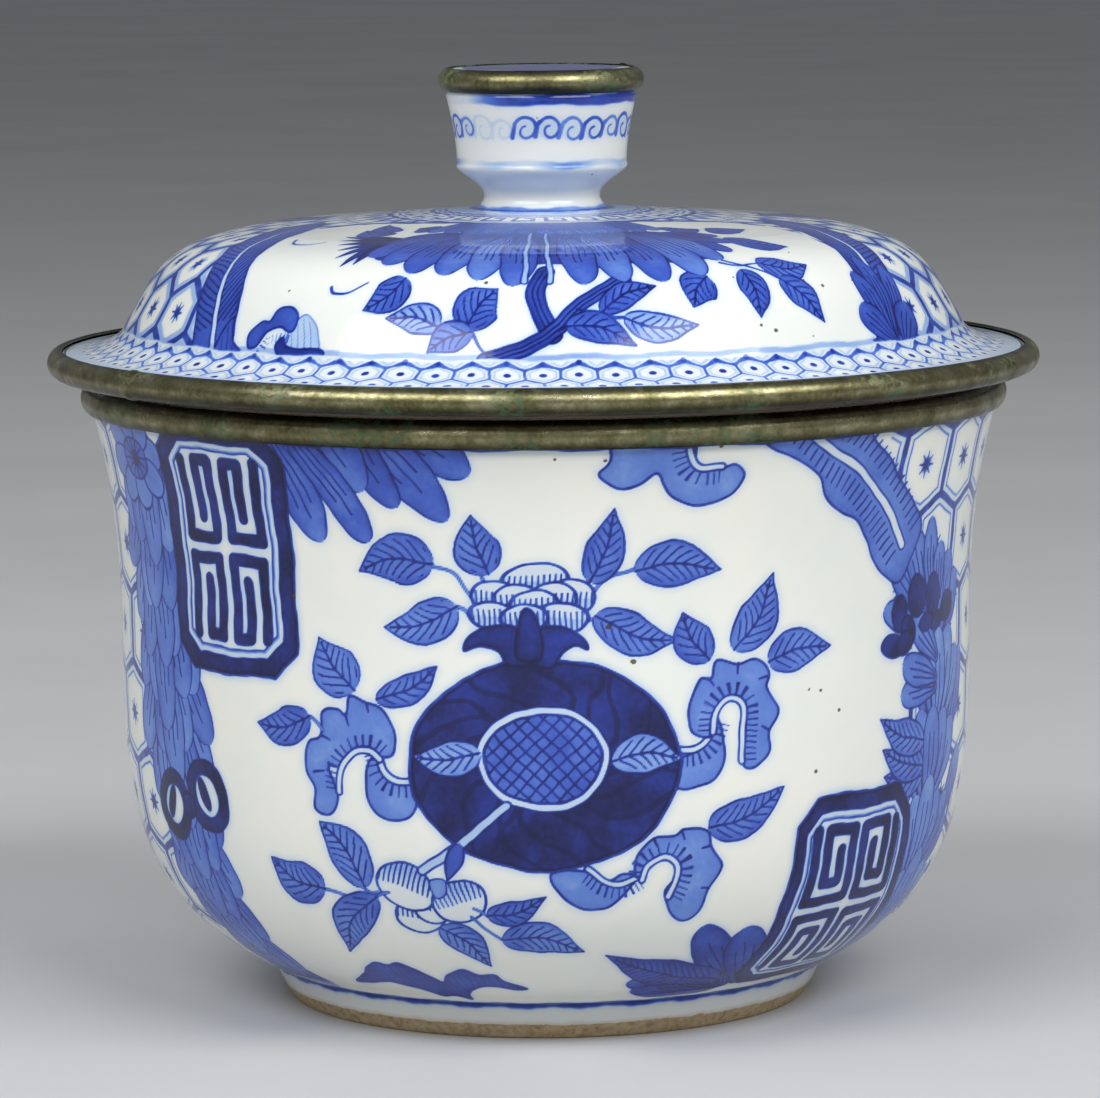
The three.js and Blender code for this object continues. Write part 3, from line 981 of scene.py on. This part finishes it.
def bowl_underside():
    inner, outer = FOOT_RING
    recess = bend([(inner - 3.4, FOOT_RECESS), (inner - 0.8, FOOT_RECESS), (inner - 0.1, 1.2)], 6)
    inside = bend([recess[-1], (inner, 0), (inner + 0.8, 0)], 4)
    outside = bend([(outer - 0.4, 0), (outer + 0.3, 0), (52.3, 0.25)], 4)
    return joined([(0.4, FOOT_RECESS), (20, FOOT_RECESS)], recess, inside, outside)


def bowl_inside():
    """Over the lip, down the inside and across the floor."""
    belly = bend([(64.5, 13.2), (84.2, 25), (BELLY_RADIUS, 40), (BELLY_RADIUS, 76)], 40)
    wall = inside_of(joined(belly, bowl_flare()), BOWL_WALL)
    well = bend([wall[-1], (wall[-1][0] - 6, BOWL_FLOOR + 1.2), (48, BOWL_FLOOR)], 12)
    return joined(arc(LIP, LIP_RADIUS, -14, 160, 14), wall[1:], well, [(20, BOWL_FLOOR), (0.4, BOWL_FLOOR)])


def lid_wall():
    """From under the brass, over the flange and up the dome to the air hole."""
    flange = bend([(96.4, 131.7), (88, 132.5), DOME_FOOT], 24)
    crown = bend([SHOULDER, (40, 157.9), (SEAT_RADIUS - 0.2, crown_height)], 30)
    return joined(flange, lid_shoulder(), crown)


def lid_shoulder():
    return bend([DOME_FOOT, (77.6, 149.1), (76.2, 153.4), SHOULDER], 50)


def lid_underside():
    """From the air hole, down the inside of the dome, round the collar and out to the flange's edge."""
    crown = bend([SHOULDER, (40, 157.9), (SEAT_RADIUS, crown_height)], 20)
    dome = inside_of(joined(lid_shoulder(), crown), DOME_WALL)
    collar = [
        (81.2, 132.4), (81.2, COLLAR + 1.2), (81.6, COLLAR + 0.3), (82.4, COLLAR), (83.2, COLLAR),
        (83.9, COLLAR + 0.3), (84.2, COLLAR + 1.2), (84.2, SEAT - 1.2), (84.6, SEAT - 0.4), (85.6, SEAT),
    ]
    edge = arc(FLANGE_EDGE, FLANGE_EDGE_RADIUS, -80, 88, 12)
    return joined(
        [(VENT, crown_height - DOME_WALL)], dome[:-1], collar, [(92.6, SEAT), (94, SEAT + 0.6)], edge
    )


def knob_wall():
    """From the knob's foot to the middle of its domed top."""
    neck = bend([(13.2, crown_height + 0.02), (7.8, 164.2), (18.9, 166.9), (17.1, 168.9)], 40)
    cup = bend([neck[-1], (17.1, 174), (19.2, 182.4)], 30)
    corner = (KNOB_RIM, KNOB_SHOULDER + 0.7)
    rim = bend([(KNOB_RIM, KNOB_SHOULDER), corner, (KNOB_RIM - 0.95, KNOB_SHOULDER + 1)], 6)
    top = bend([rim[-1], (16.5, knob_top), (0.35, knob_top)], 30)
    return joined(neck, cup, [(KNOB_RIM, 183)], rim, top)


def knob_hollow():
    return joined([(0.35, 184.2), (12, 184.2)], arc((12.4, 183), 1.2, 80, 0, 5), [(13.6, 170)],
                  [(8.6, 165.5), (8.6, crown_height + 0.4), (9, crown_height + 0.02)])


# ---- Meshes ----

def ring_points(profile, columns):
    """Rings of a turned surface; column 0 is at the back and columns run anticlockwise from above."""
    angle = np.arange(columns) * 2 * math.pi / columns
    radius, height = profile[:, 0, None], profile[:, 1, None]
    points = np.stack([-radius * np.sin(angle), radius * np.cos(angle), height + 0 * angle], -1)
    return points.reshape(-1, 3)


def sheet_faces(first, rings, columns):
    """Quads between the rings of one run of a surface, with each corner's turn and ring."""
    j = np.arange(columns)
    k = np.arange(rings - 1)[:, None]
    low, high = first + k * columns, first + (k + 1) * columns
    after = (j + 1) % columns
    corners = np.stack([low + j, low + after, high + after, high + j], -1).reshape(-1)
    shape = rings - 1, columns, 4
    turn = np.broadcast_to(np.stack([j, j + 1, j + 1, j], -1) / columns, shape).reshape(-1)
    ring = np.broadcast_to(np.stack([k, k, k + 1, k + 1], -1), shape).reshape(-1)
    return corners, np.full((rings - 1) * columns, 4), turn, ring


def stitch_faces(low, low_columns, high, high_columns):
    """Faces between two rings whose column counts divide one another."""
    cells = min(low_columns, high_columns)
    corners, turn, ring = [], [], []
    for j in range(cells):
        for start, columns, level, order in ((low, low_columns, 0, 1), (high, high_columns, 1, -1)):
            each = columns // cells
            for k in list(range(j * each, (j + 1) * each + 1))[::order]:
                corners.append(start + k % columns)
                turn.append(k / columns)
                ring.append(level)
    sizes = np.full(cells, len(corners) // cells)
    return np.array(corners), sizes, np.array(turn), np.array(ring, float)


def painted_uv(turn, ring, rings, strips):
    """UVs of the painted run's quads, folded into strips that fill most of the square."""
    share, gap = 0.9 / strips, 0.004
    strip = np.repeat(np.floor(turn[::4] * strips + 1e-6), 4)
    rise = strip * share + gap + ring / (rings - 1) * (share - 2 * gap)
    return np.stack([(turn * strips - strip) * (1 - 2 * gap) + gap, rise], -1)


def plain_uv(turn, ring, rings):
    """UVs of everything else, in what is left along the top of the square."""
    return np.stack([turn * 0.99 + 0.005, 0.91 + 0.08 * ring / rings], -1)


def turned(name, runs, painted, strips=1, closed=False):
    """A turned body from runs of (profile, columns), and the place of the painted run's vertices.
    It closes on itself, or both its ends are closed by a small flat face."""
    total, place = sum(len(profile) for profile, _ in runs), None
    points = np.concatenate([ring_points(profile, columns) for profile, columns in runs])
    faces, rims = [], []
    first = base = 0
    for number, (profile, columns) in enumerate(runs):
        rings = len(profile)
        corners, sizes, turn, ring = sheet_faces(first, rings, columns)
        if number == painted:
            uv, place = painted_uv(turn, ring, rings, strips), slice(first, first + rings * columns)
        else:
            uv = plain_uv(turn, ring + base, total)
        faces.append((corners, sizes, uv))
        rims.append((first, first + (rings - 1) * columns, columns, base, base + rings - 1))
        first, base = first + rings * columns, base + rings
    for a, b in zip(rims, rims[1:] + (rims[:1] if closed else [])):
        corners, sizes, turn, ring = stitch_faces(a[1], a[2], b[0], b[2])
        faces.append((corners, sizes, plain_uv(turn, ring + a[4], total)))
    if not closed:
        (low, _, columns, *_), (_, high, many, *_) = rims[0], rims[-1]
        for corners, ring in ((low + np.arange(columns)[::-1], 0), (high + np.arange(many), total)):
            count = len(corners)
            turn = np.linspace(0, 1, count)
            faces.append((corners, np.array([count]), plain_uv(turn, np.full(count, float(ring)), total)))
    corners, sizes, uv = (np.concatenate(part) for part in zip(*faces))
    return build(name, points, corners, sizes, uv), place


def build(name, points, corners, sizes, uv=None):
    """A smooth-shaded mesh object from points in millimetres."""
    mesh = bpy.data.meshes.new(name)
    mesh.vertices.add(len(points))
    mesh.vertices.foreach_set("co", (points * MM).astype(np.float32).ravel())
    mesh.loops.add(len(corners))
    mesh.loops.foreach_set("vertex_index", corners.astype(np.int32))
    mesh.polygons.add(len(sizes))
    starts = np.concatenate([[0], np.cumsum(sizes)[:-1]])
    mesh.polygons.foreach_set("loop_start", starts.astype(np.int32))
    mesh.polygons.foreach_set("use_smooth", np.ones(len(sizes), bool))
    if uv is not None:
        layer = mesh.uv_layers.new(name="OFBake")
        layer.data.foreach_set("uv", uv.astype(np.float32).ravel())
    mesh.update(calc_edges=True)
    mesh.validate()
    piece = bpy.data.objects.new(name, mesh)
    bpy.context.scene.collection.objects.link(piece)
    return piece


def put_paint(piece, place, canvas):
    """Stores the painting on the piece's vertices."""
    for label, values in zip(("wash", "line", "spots"), canvas.values()):
        field = np.zeros(len(piece.data.vertices), np.float32)
        field[place] = values
        layer = piece.data.attributes.new(label, "FLOAT", "POINT")
        layer.data.foreach_set("value", field)


def paint_seam_shade(piece, inner, low, high):
    """Painted shade in the seam between bowl and lid, outside a radius and between two heights."""
    points = np.empty(3 * len(piece.data.vertices), np.float32)
    piece.data.vertices.foreach_get("co", points)
    x, y, z = points.reshape(-1, 3).T / MM
    spots = piece.data.attributes["spots"].data
    held = np.empty(len(x), np.float32)
    spots.foreach_get("value", held)
    held[(np.hypot(x, y) > inner) & (z > low) & (z < high)] = 1
    spots.foreach_set("value", held)


def hand_rolled(section, centre, columns, dents, seam):
    """Points of a strip that swells and dips a little along its length and laps over itself at its seam."""
    points = ring_points(section, columns).reshape(len(section), columns, 3)
    turn = np.arange(columns) / columns * 2 * math.pi
    swell = sum(np.sin(turn * k + k * k) / k**0.5 for k in (3, 7, 11, 19, 31, 47)) * dents
    lap = LAP * np.exp(-((turn - seam) * centre[0] / 1.2) ** 4)
    away = np.stack([-np.sin(turn), np.cos(turn), 0 * turn], -1)
    lift = (section - centre) / np.hypot(*(section - centre).T)[:, None]
    offset = (swell + lap)[None, :, None]
    return points + offset * (away[None] * lift[:, :1, None] + np.array([0, 0, 1.0]) * lift[:, 1:, None])


def tucked(angles, covered):
    """How far a strip's outside is darkened: most at its tips, and between the angles that are covered,
    where the darkening is painted shade.
    """
    tuck = np.abs(np.linspace(-1, 1, len(angles)))
    if covered:
        depth = np.minimum(angles - covered[0], covered[1] - angles)
        tuck = np.maximum(tuck, np.clip(1 + depth / 30, 0, 1))
    return tuck


def strip_ring(name, centre, roll, start, end, columns, dents=0.0, seam=0.0, covered=None):
    """A brass strip rolled into a ring: its section is an arc of sheet."""
    steps = max(int((end - start) / 9), 8)
    outer = arc(centre, roll, start, end, steps)
    inner = arc(centre, roll - SHEET, end, start, steps)
    section = joined(outer, inner)
    points = hand_rolled(section, centre, columns, dents, seam)
    outside = tucked(np.linspace(start, end, steps + 1), covered)
    tuck = np.concatenate([outside, np.ones(len(section) - len(outside))])
    count = len(section)
    corners, sizes, turns, ring = sheet_faces(0, count, columns)
    more, sizes_more, turns_more, _ = stitch_faces((count - 1) * columns, columns, 0, columns)
    uv = np.concatenate(
        [
            plain_ring_uv(turns, ring, count),
            plain_ring_uv(turns_more, np.where(np.arange(len(more)) % 4 < 2, count - 1, count), count),
        ],
    )
    piece = build(name, points.reshape(-1, 3), np.concatenate([corners, more]),
                  np.concatenate([sizes, sizes_more]), uv)
    layer = piece.data.attributes.new("tuck", "FLOAT", "POINT")
    layer.data.foreach_set("value", np.repeat(tuck, columns).astype(np.float32))
    return piece


def plain_ring_uv(turn, ring, rings, strips=4):
    """UVs of a ring's section, folded into strips."""
    strip = np.repeat(np.floor(turn[::4] * strips + 1e-6), 4)
    v = (strip + 0.02 + 0.96 * ring / rings) / strips
    return np.stack([(turn * strips - strip) * 0.99 + 0.005, v], -1)


def bedding_ring(name, section, columns):
    """A ring of putty from its closed section."""
    piece, _ = turned(name, [(section, columns)], painted=None, closed=True)
    return piece


# ---- The pieces ----

COARSE = 300  # columns of the plain sides


def painted_canvas(wall, radius, columns, rows):
    return Canvas(2 * math.pi * radius, lengths(wall)[-1], columns, rows)


def make_bowl():
    wall = evenly(bowl_wall(), 448)
    canvas = painted_canvas(wall, BELLY_RADIUS, 6 * COARSE, len(wall))
    paint_bowl(canvas)
    runs = [(bowl_underside(), COARSE), (wall, canvas.columns), (bowl_inside(), COARSE)]
    piece, place = turned("bowl_body_porcelain", runs, painted=1, strips=2)
    put_paint(piece, place, canvas)
    return piece


def make_lid():
    wall = evenly(lid_wall(), 311)
    canvas = painted_canvas(wall, DOME_FOOT[0], 6 * COARSE, len(wall))
    paint_lid(canvas)
    mouth = bend([wall[-1], (8, crown_height), (VENT, crown_height)], 5)
    runs = [(lid_underside(), COARSE), (wall, canvas.columns), (mouth[1:], COARSE)]
    piece, place = turned("lid_body_porcelain", runs, painted=1, strips=3, closed=True)
    put_paint(piece, place, canvas)
    # Painted shade: the lid's seat and its edge under the brass are darkened with the pinholes' brown.
    paint_seam_shade(piece, 85.5, SEAT - 0.5, SEAT + 4)
    return piece


def make_knob():
    wall = evenly(knob_wall(), 190)
    canvas = painted_canvas(wall, 18, 380, len(wall))
    paint_knob(canvas)
    runs = [(knob_hollow(), 95), (wall, canvas.columns)]
    piece, place = turned("lid_knob_porcelain", runs, painted=1)
    put_paint(piece, place, canvas)
    return piece


def make_bands():
    """The three brass strips, dressed over the rims by hand."""
    # Between 44 and 100 degrees the bowl's strip lies under the lid's strip and is painted in shade.
    bowl = strip_ring(
        "bowl_rim_brass", LIP, LIP_ROLL, -45, 195, 900, dents=0.03, seam=0.4, covered=(44, 100)
    )
    lid = strip_ring("lid_rim_brass", FLANGE, FLANGE_ROLL, -95, 95, 900, dents=0.035, seam=2.2)
    knob = strip_ring("knob_rim_brass", KNOB_STRIP, KNOB_ROLL, -64, 80, 360, dents=0.02, seam=5.2)
    return {"bowl_rim_band": bowl, "lid_rim_band": lid, "knob_band": knob}


def make_beddings():
    """Lacquer putty that fills each roll between the brass and the porcelain."""
    behind = SHEET + GAP
    bowl = joined(arc(LIP, LIP_ROLL - behind, 0, 180, 20), arc(LIP, LIP_RADIUS + GAP, 180, 0, 20))
    lid = joined(arc(FLANGE, FLANGE_ROLL - behind, -50, 50, 12),
                 arc(FLANGE_EDGE, FLANGE_EDGE_RADIUS + GAP, 45, -45, 12))
    outer = arc(KNOB_STRIP, KNOB_ROLL - behind, -45, 45, 10)
    knob = joined(outer, [(KNOB_RIM + GAP, outer[-1][1]), (KNOB_RIM + GAP, outer[0][1])])
    return {
        "bowl_band_bedding": bedding_ring("bowl_band_putty", bowl, 240),
        "lid_band_bedding": bedding_ring("lid_band_putty", lid, 240),
        "knob_band_bedding": bedding_ring("knob_band_putty", knob, 120),
    }


# ---- Materials ----

def srgb(red, green, blue):
    """A scene-linear colour from 8-bit sRGB."""
    def linear(value):
        value /= 255
        return value / 12.92 if value <= 0.04045 else ((value + 0.055) / 1.055) ** 2.4
    return linear(red), linear(green), linear(blue), 1.0


class Finish:
    """A material and shorthand for wiring its nodes."""

    def __init__(self, name):
        self.material = bpy.data.materials.new(name)
        self.material.use_nodes = True
        self.tree = self.material.node_tree
        self.surface = self.tree.nodes["Principled BSDF"]
        self.place = self.add("TexCoord").outputs["Object"]

    def add(self, kind, **settings):
        node = self.tree.nodes.new("ShaderNode" + kind)
        for key, value in settings.items():
            setattr(node, key, value)
        return node

    def feed(self, socket, value):
        if isinstance(value, bpy.types.NodeSocket):
            self.tree.links.new(value, socket)
        elif value is not None:
            socket.default_value = value

    def maths(self, operation, *values):
        node = self.add("Math", operation=operation)
        for socket, value in zip(node.inputs, values):
            self.feed(socket, value)
        return node.outputs[0]

    def plus(self, first, second):
        return self.maths("ADD", first, second)

    def minus(self, first, second):
        return self.maths("SUBTRACT", first, second)

    def times(self, first, second):
        return self.maths("MULTIPLY", first, second)

    def remap(self, value, low, high, to_low=0.0, to_high=1.0, kind="SMOOTHSTEP"):
        node = self.add("MapRange", interpolation_type=kind)
        for socket, part in zip(node.inputs, (value, low, high, to_low, to_high)):
            self.feed(socket, part)
        return node.outputs[0]

    def noise(self, millimetres, detail=3.0, roughness=0.55, stretch=None):
        """Cloudy noise whose blotches are about this many millimetres across."""
        node = self.add("TexNoise")
        place = self.place
        if stretch:
            scaling = self.add("Mapping")
            self.feed(scaling.inputs["Vector"], place)
            self.feed(scaling.inputs["Scale"], stretch)
            place = scaling.outputs[0]
        self.feed(node.inputs["Vector"], place)
        self.feed(node.inputs["Scale"], 1 / (millimetres * MM))
        self.feed(node.inputs["Detail"], detail)
        self.feed(node.inputs["Roughness"], roughness)
        return node.outputs[0]

    def field(self, name):
        return self.add("Attribute", attribute_name=name).outputs["Fac"]

    def ramp(self, value, stops):
        node = self.add("ValToRGB")
        self.feed(node.inputs[0], value)
        points = node.color_ramp.elements
        while len(points) < len(stops):
            points.new(0.5)
        for point, (position, colour) in zip(points, stops):
            point.position, point.color = position, srgb(*colour)
        return node.outputs[0]

    def mix(self, share, first, second, how="MIX"):
        node = self.add("Mix", data_type="RGBA", blend_type=how)
        for slot, value in zip((0, 6, 7), (share, first, second)):
            self.feed(node.inputs[slot], value)
        return node.outputs[2]

    def blend(self, share, first, second):
        """Mixes two plain values."""
        node = self.add("Mix", data_type="FLOAT")
        for slot, value in zip((0, 2, 3), (share, first, second)):
            self.feed(node.inputs[slot], value)
        return node.outputs[0]

    def bump(self, height, millimetres, strength=1.0):
        node = self.add("Bump")
        self.feed(node.inputs["Height"], height)
        self.feed(node.inputs["Distance"], millimetres * MM)
        self.feed(node.inputs["Strength"], strength)
        return node.outputs[0]

    def finish(self, **inputs):
        for name, value in inputs.items():
            self.feed(self.surface.inputs[name.replace("_", " ")], value)
        return self.material


COBALT = ((0.00, (243, 243, 238)), (0.20, (172, 197, 233)), (0.36, (102, 137, 218)), (0.52, (62, 92, 194)),
          (0.72, (36, 55, 152)), (0.88, (25, 32, 98)), (1.00, (10, 14, 58)))
GLAZE = (0.3, (255, 255, 250)), (0.7, (247, 251, 250))
CLAY = (0.25, (120, 96, 66)), (0.45, (178, 156, 120)), (0.7, (205, 188, 155))
BRASS = (0.36, (86, 84, 54)), (0.5, (128, 124, 88)), (0.62, (160, 155, 118)), (0.78, (198, 192, 160))
# The pinhole brown also paints shade into the seam where the lid sits on the bowl's brass.
BURNT, PINHOLE_AND_SEAM_SHADE = (176, 120, 66), (74, 52, 28)
# The dark brass colour is painted shade where the brass faces down or lies under the lid, and it also
# darkens the strips' tips.
BRASS_SHADE, VERDIGRIS = (38, 36, 24), (66, 104, 70)


def painted_depth(finish):
    """How much cobalt lies at a point, 0 to 1: the wash, cloudy as a full brush leaves it, and the line."""
    brushed = finish.remap(finish.noise(9, 3), 0.3, 0.7, 0.9, 1.1)
    grain = finish.remap(finish.noise(1.1, 2), 0.25, 0.75, 0.97, 1.03)
    wash = finish.times(finish.times(finish.field("wash"), brushed), grain)
    line = finish.remap(finish.field("line"), 0.07, 0.93)
    stroke = finish.times(line, finish.remap(finish.noise(3.5, 2), 0.2, 0.8, 0.52, 0.82))
    return finish.minus(1, finish.times(finish.minus(1, wash), finish.minus(1, stroke)))


def bare_clay(finish, colour, rough, relief):
    """Leaves the foot's edge unglazed, burnt where the glaze stops."""
    height = finish.add("SeparateXYZ")
    finish.feed(height.inputs[0], finish.place)
    wander = finish.remap(finish.noise(3.5, 3), 0.2, 0.8, -0.35 * MM, 0.35 * MM, "LINEAR")
    level = finish.plus(height.outputs[2], wander)
    bare = finish.remap(level, (FOOT_BARE + 0.15) * MM, (FOOT_BARE - 0.05) * MM)
    burnt = finish.remap(level, (FOOT_BARE + 1.1) * MM, (FOOT_BARE + 0.1) * MM)
    clay = finish.ramp(finish.noise(1.4, 6, 0.7), CLAY)
    colour = finish.mix(finish.times(burnt, 0.3), colour, srgb(*BURNT))
    colour = finish.mix(bare, colour, clay)
    rough = finish.blend(bare, rough, 0.82)
    return colour, rough, finish.plus(relief, finish.times(bare, finish.noise(0.5, 5, 0.7)))


def porcelain(name, bare_foot=False):
    """Cobalt painting under a clear glaze with pinholes; the bowl's foot is left bare."""
    finish = Finish(name)
    depth = painted_depth(finish)
    colour = finish.ramp(depth, COBALT)
    colour = finish.mix(1.0, colour, finish.ramp(finish.noise(26, 3), GLAZE), "MULTIPLY")
    # Spots are the pinholes, and on the lid they are also the painted shade of its seat.
    spots = finish.remap(finish.field("spots"), 0.15, 0.6)
    colour = finish.mix(finish.times(spots, 0.9), colour, srgb(*PINHOLE_AND_SEAM_SHADE))
    rough = finish.remap(finish.noise(9, 4), 0.3, 0.7, 0.06, 0.11)
    ripple = finish.plus(finish.noise(14, 2), finish.times(finish.noise(1.6, 2), 0.08))
    relief = finish.minus(finish.minus(ripple, finish.times(spots, 0.6)), finish.times(depth, 0.04))
    if bare_foot:
        colour, rough, relief = bare_clay(finish, colour, rough, relief)
    return finish.finish(Base_Color=colour, Roughness=rough, IOR=1.46, Normal=finish.bump(relief, 0.12))


def aged_brass():
    """Olive brass: brighter where it is worn, with verdigris, and darkened where it tucks in or faces down;
    the darkening is painted shade where it faces down or lies under the lid.
    """
    finish = Finish("aged_brass")
    tuck = finish.field("tuck")
    cloud = finish.noise(6, 5, 0.65)
    fine = finish.noise(0.8, 4, 0.6)
    worn = finish.plus(finish.times(cloud, 0.8), finish.times(fine, 0.35))
    colour = finish.ramp(worn, BRASS)
    facing = finish.add("SeparateXYZ")
    finish.feed(facing.inputs[0], finish.add("TexCoord").outputs["Normal"])
    # Painted shade: the brass goes dark where it faces down, and where its tuck is high, which on the bowl's
    # strip is under the lid.
    hidden, under = finish.remap(tuck, 0.5, 1.0, 0, 0.93), finish.remap(facing.outputs[2], 0.2, -0.7, 0, 0.9)
    colour = finish.mix(finish.maths("MAXIMUM", hidden, under), colour, srgb(*BRASS_SHADE))
    patches = finish.remap(finish.noise(16, 3), 0.5, 0.64)
    green = finish.times(patches, finish.remap(finish.noise(1.6, 5, 0.7), 0.42, 0.64))
    colour = finish.mix(finish.times(green, 0.8), colour, srgb(*VERDIGRIS))
    rough = finish.plus(finish.remap(worn, 0.4, 0.8, 0.38, 0.22, "LINEAR"), finish.times(green, 0.35))
    scratch = finish.noise(0.5, 3, 0.6, stretch=(1, 1, 5))
    relief = finish.plus(finish.plus(cloud, finish.times(scratch, 0.18)), finish.times(green, 0.2))
    return finish.finish(Base_Color=colour, Metallic=finish.minus(1, finish.times(green, 0.7)),
                         Roughness=rough, Normal=finish.bump(relief, 0.16))


def lacquer_putty():
    finish = Finish("lacquer_putty")
    grain = finish.noise(0.7, 6, 0.7)
    colour = finish.ramp(grain, ((0.3, (34, 24, 16)), (0.55, (58, 44, 32)), (0.8, (82, 66, 48))))
    return finish.finish(Base_Color=colour, Roughness=finish.remap(grain, 0.2, 0.8, 0.95, 0.75),
                         Normal=finish.bump(grain, 0.2))


def pale_floor():
    finish = Finish("pale_floor")
    colour = finish.ramp(finish.noise(220, 3), ((0.3, (198, 199, 200)), (0.7, (206, 207, 208))))
    return finish.finish(Base_Color=colour, Roughness=finish.remap(finish.noise(40, 4), 0.3, 0.7, 0.75, 0.9),
                         Normal=finish.bump(finish.noise(1.5, 4), 0.05))


# ---- The stage ----

def make_floor(radius=14.0, rings=24, columns=96):
    """A wide disc under the bowl, finer towards its middle."""
    reach = np.linspace(0.03, 1, rings) ** 2 * radius / MM
    profile = np.stack([reach[::-1], np.zeros(rings)], 1)
    corners, sizes, *_ = sheet_faces(0, rings, columns)
    middle = (rings - 1) * columns + np.arange(columns)
    points = ring_points(profile, columns)
    floor = build("floor", points, np.concatenate([corners, middle]), np.concatenate([sizes, [columns]]))
    floor.data.materials.append(pale_floor())


def area_light(name, place, target, size, power, glossy=True):
    light = bpy.data.lights.new(name, "AREA")
    light.shape, light.size, light.size_y = "RECTANGLE", *size
    light.energy = power
    lamp = bpy.data.objects.new(name, light)
    lamp.location = place
    lamp.rotation_euler = (Vector(target) - Vector(place)).to_track_quat("-Z", "Y").to_euler()
    lamp.visible_glossy = glossy
    bpy.context.scene.collection.objects.link(lamp)


def make_lights():
    """A softbox on each side of the camera and a wide diffuser overhead."""
    middle = 0, 0, 0.09
    area_light("left softbox", (-0.9, -1.15, 1.38), middle, (1.5, 0.8), 21)
    area_light("right softbox", (1.0, -1.1, 1.36), middle, (1.5, 0.8), 24)
    area_light("overhead", (0.0, 0.1, 1.6), middle, (1.6, 1.6), 5, glossy=False)
    world = bpy.data.worlds.new("studio")
    world.use_nodes = True
    backdrop = world.node_tree.nodes["Background"]
    backdrop.inputs["Color"].default_value = srgb(226, 229, 233)
    backdrop.inputs["Strength"].default_value = 0.22
    bpy.context.scene.world = world


def make_camera():
    """The photograph's angle: level with the lid's top and looking a little down, with a long lens."""
    camera = bpy.data.cameras.new("camera")
    camera.sensor_width, camera.lens, camera.clip_end = 36, 193.2, 40
    viewer = bpy.data.objects.new("camera", camera)
    down, roll = 0.1224, -0.0085
    place = Matrix.Translation((0.001, -1.1895, 0.2366))
    viewer.matrix_world = place @ Matrix.Rotation(math.pi / 2 - down, 4, "X") @ Matrix.Rotation(roll, 4, "Z")
    bpy.context.scene.collection.objects.link(viewer)
    bpy.context.scene.camera = viewer


def place_piece(piece, body, node, material):
    piece.data.materials.append(material)
    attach(piece, body)
    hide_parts(node)


def make_object():
    """Every piece, on its body, in place of its node and with its material."""
    glaze, brass, putty = porcelain("painted_porcelain"), aged_brass(), lacquer_putty()
    bowl_glaze = porcelain("bowl_porcelain", bare_foot=True)
    place_piece(make_bowl(), "bowl", "bowl_body", bowl_glaze)
    place_piece(make_lid(), "lid", "lid_body", glaze)
    place_piece(make_knob(), "lid", "lid_knob", glaze)
    for pieces, slot, material in (
        (make_bands(), "aged_brass", brass), (make_beddings(), "lacquer_putty", putty)
    ):
        for node, piece in pieces.items():
            place_piece(piece, "bowl" if node.startswith("bowl") else "lid", node, material)


make_object()
make_floor()
make_lights()
make_camera()
bpy.context.scene.view_settings.view_transform = "Standard"
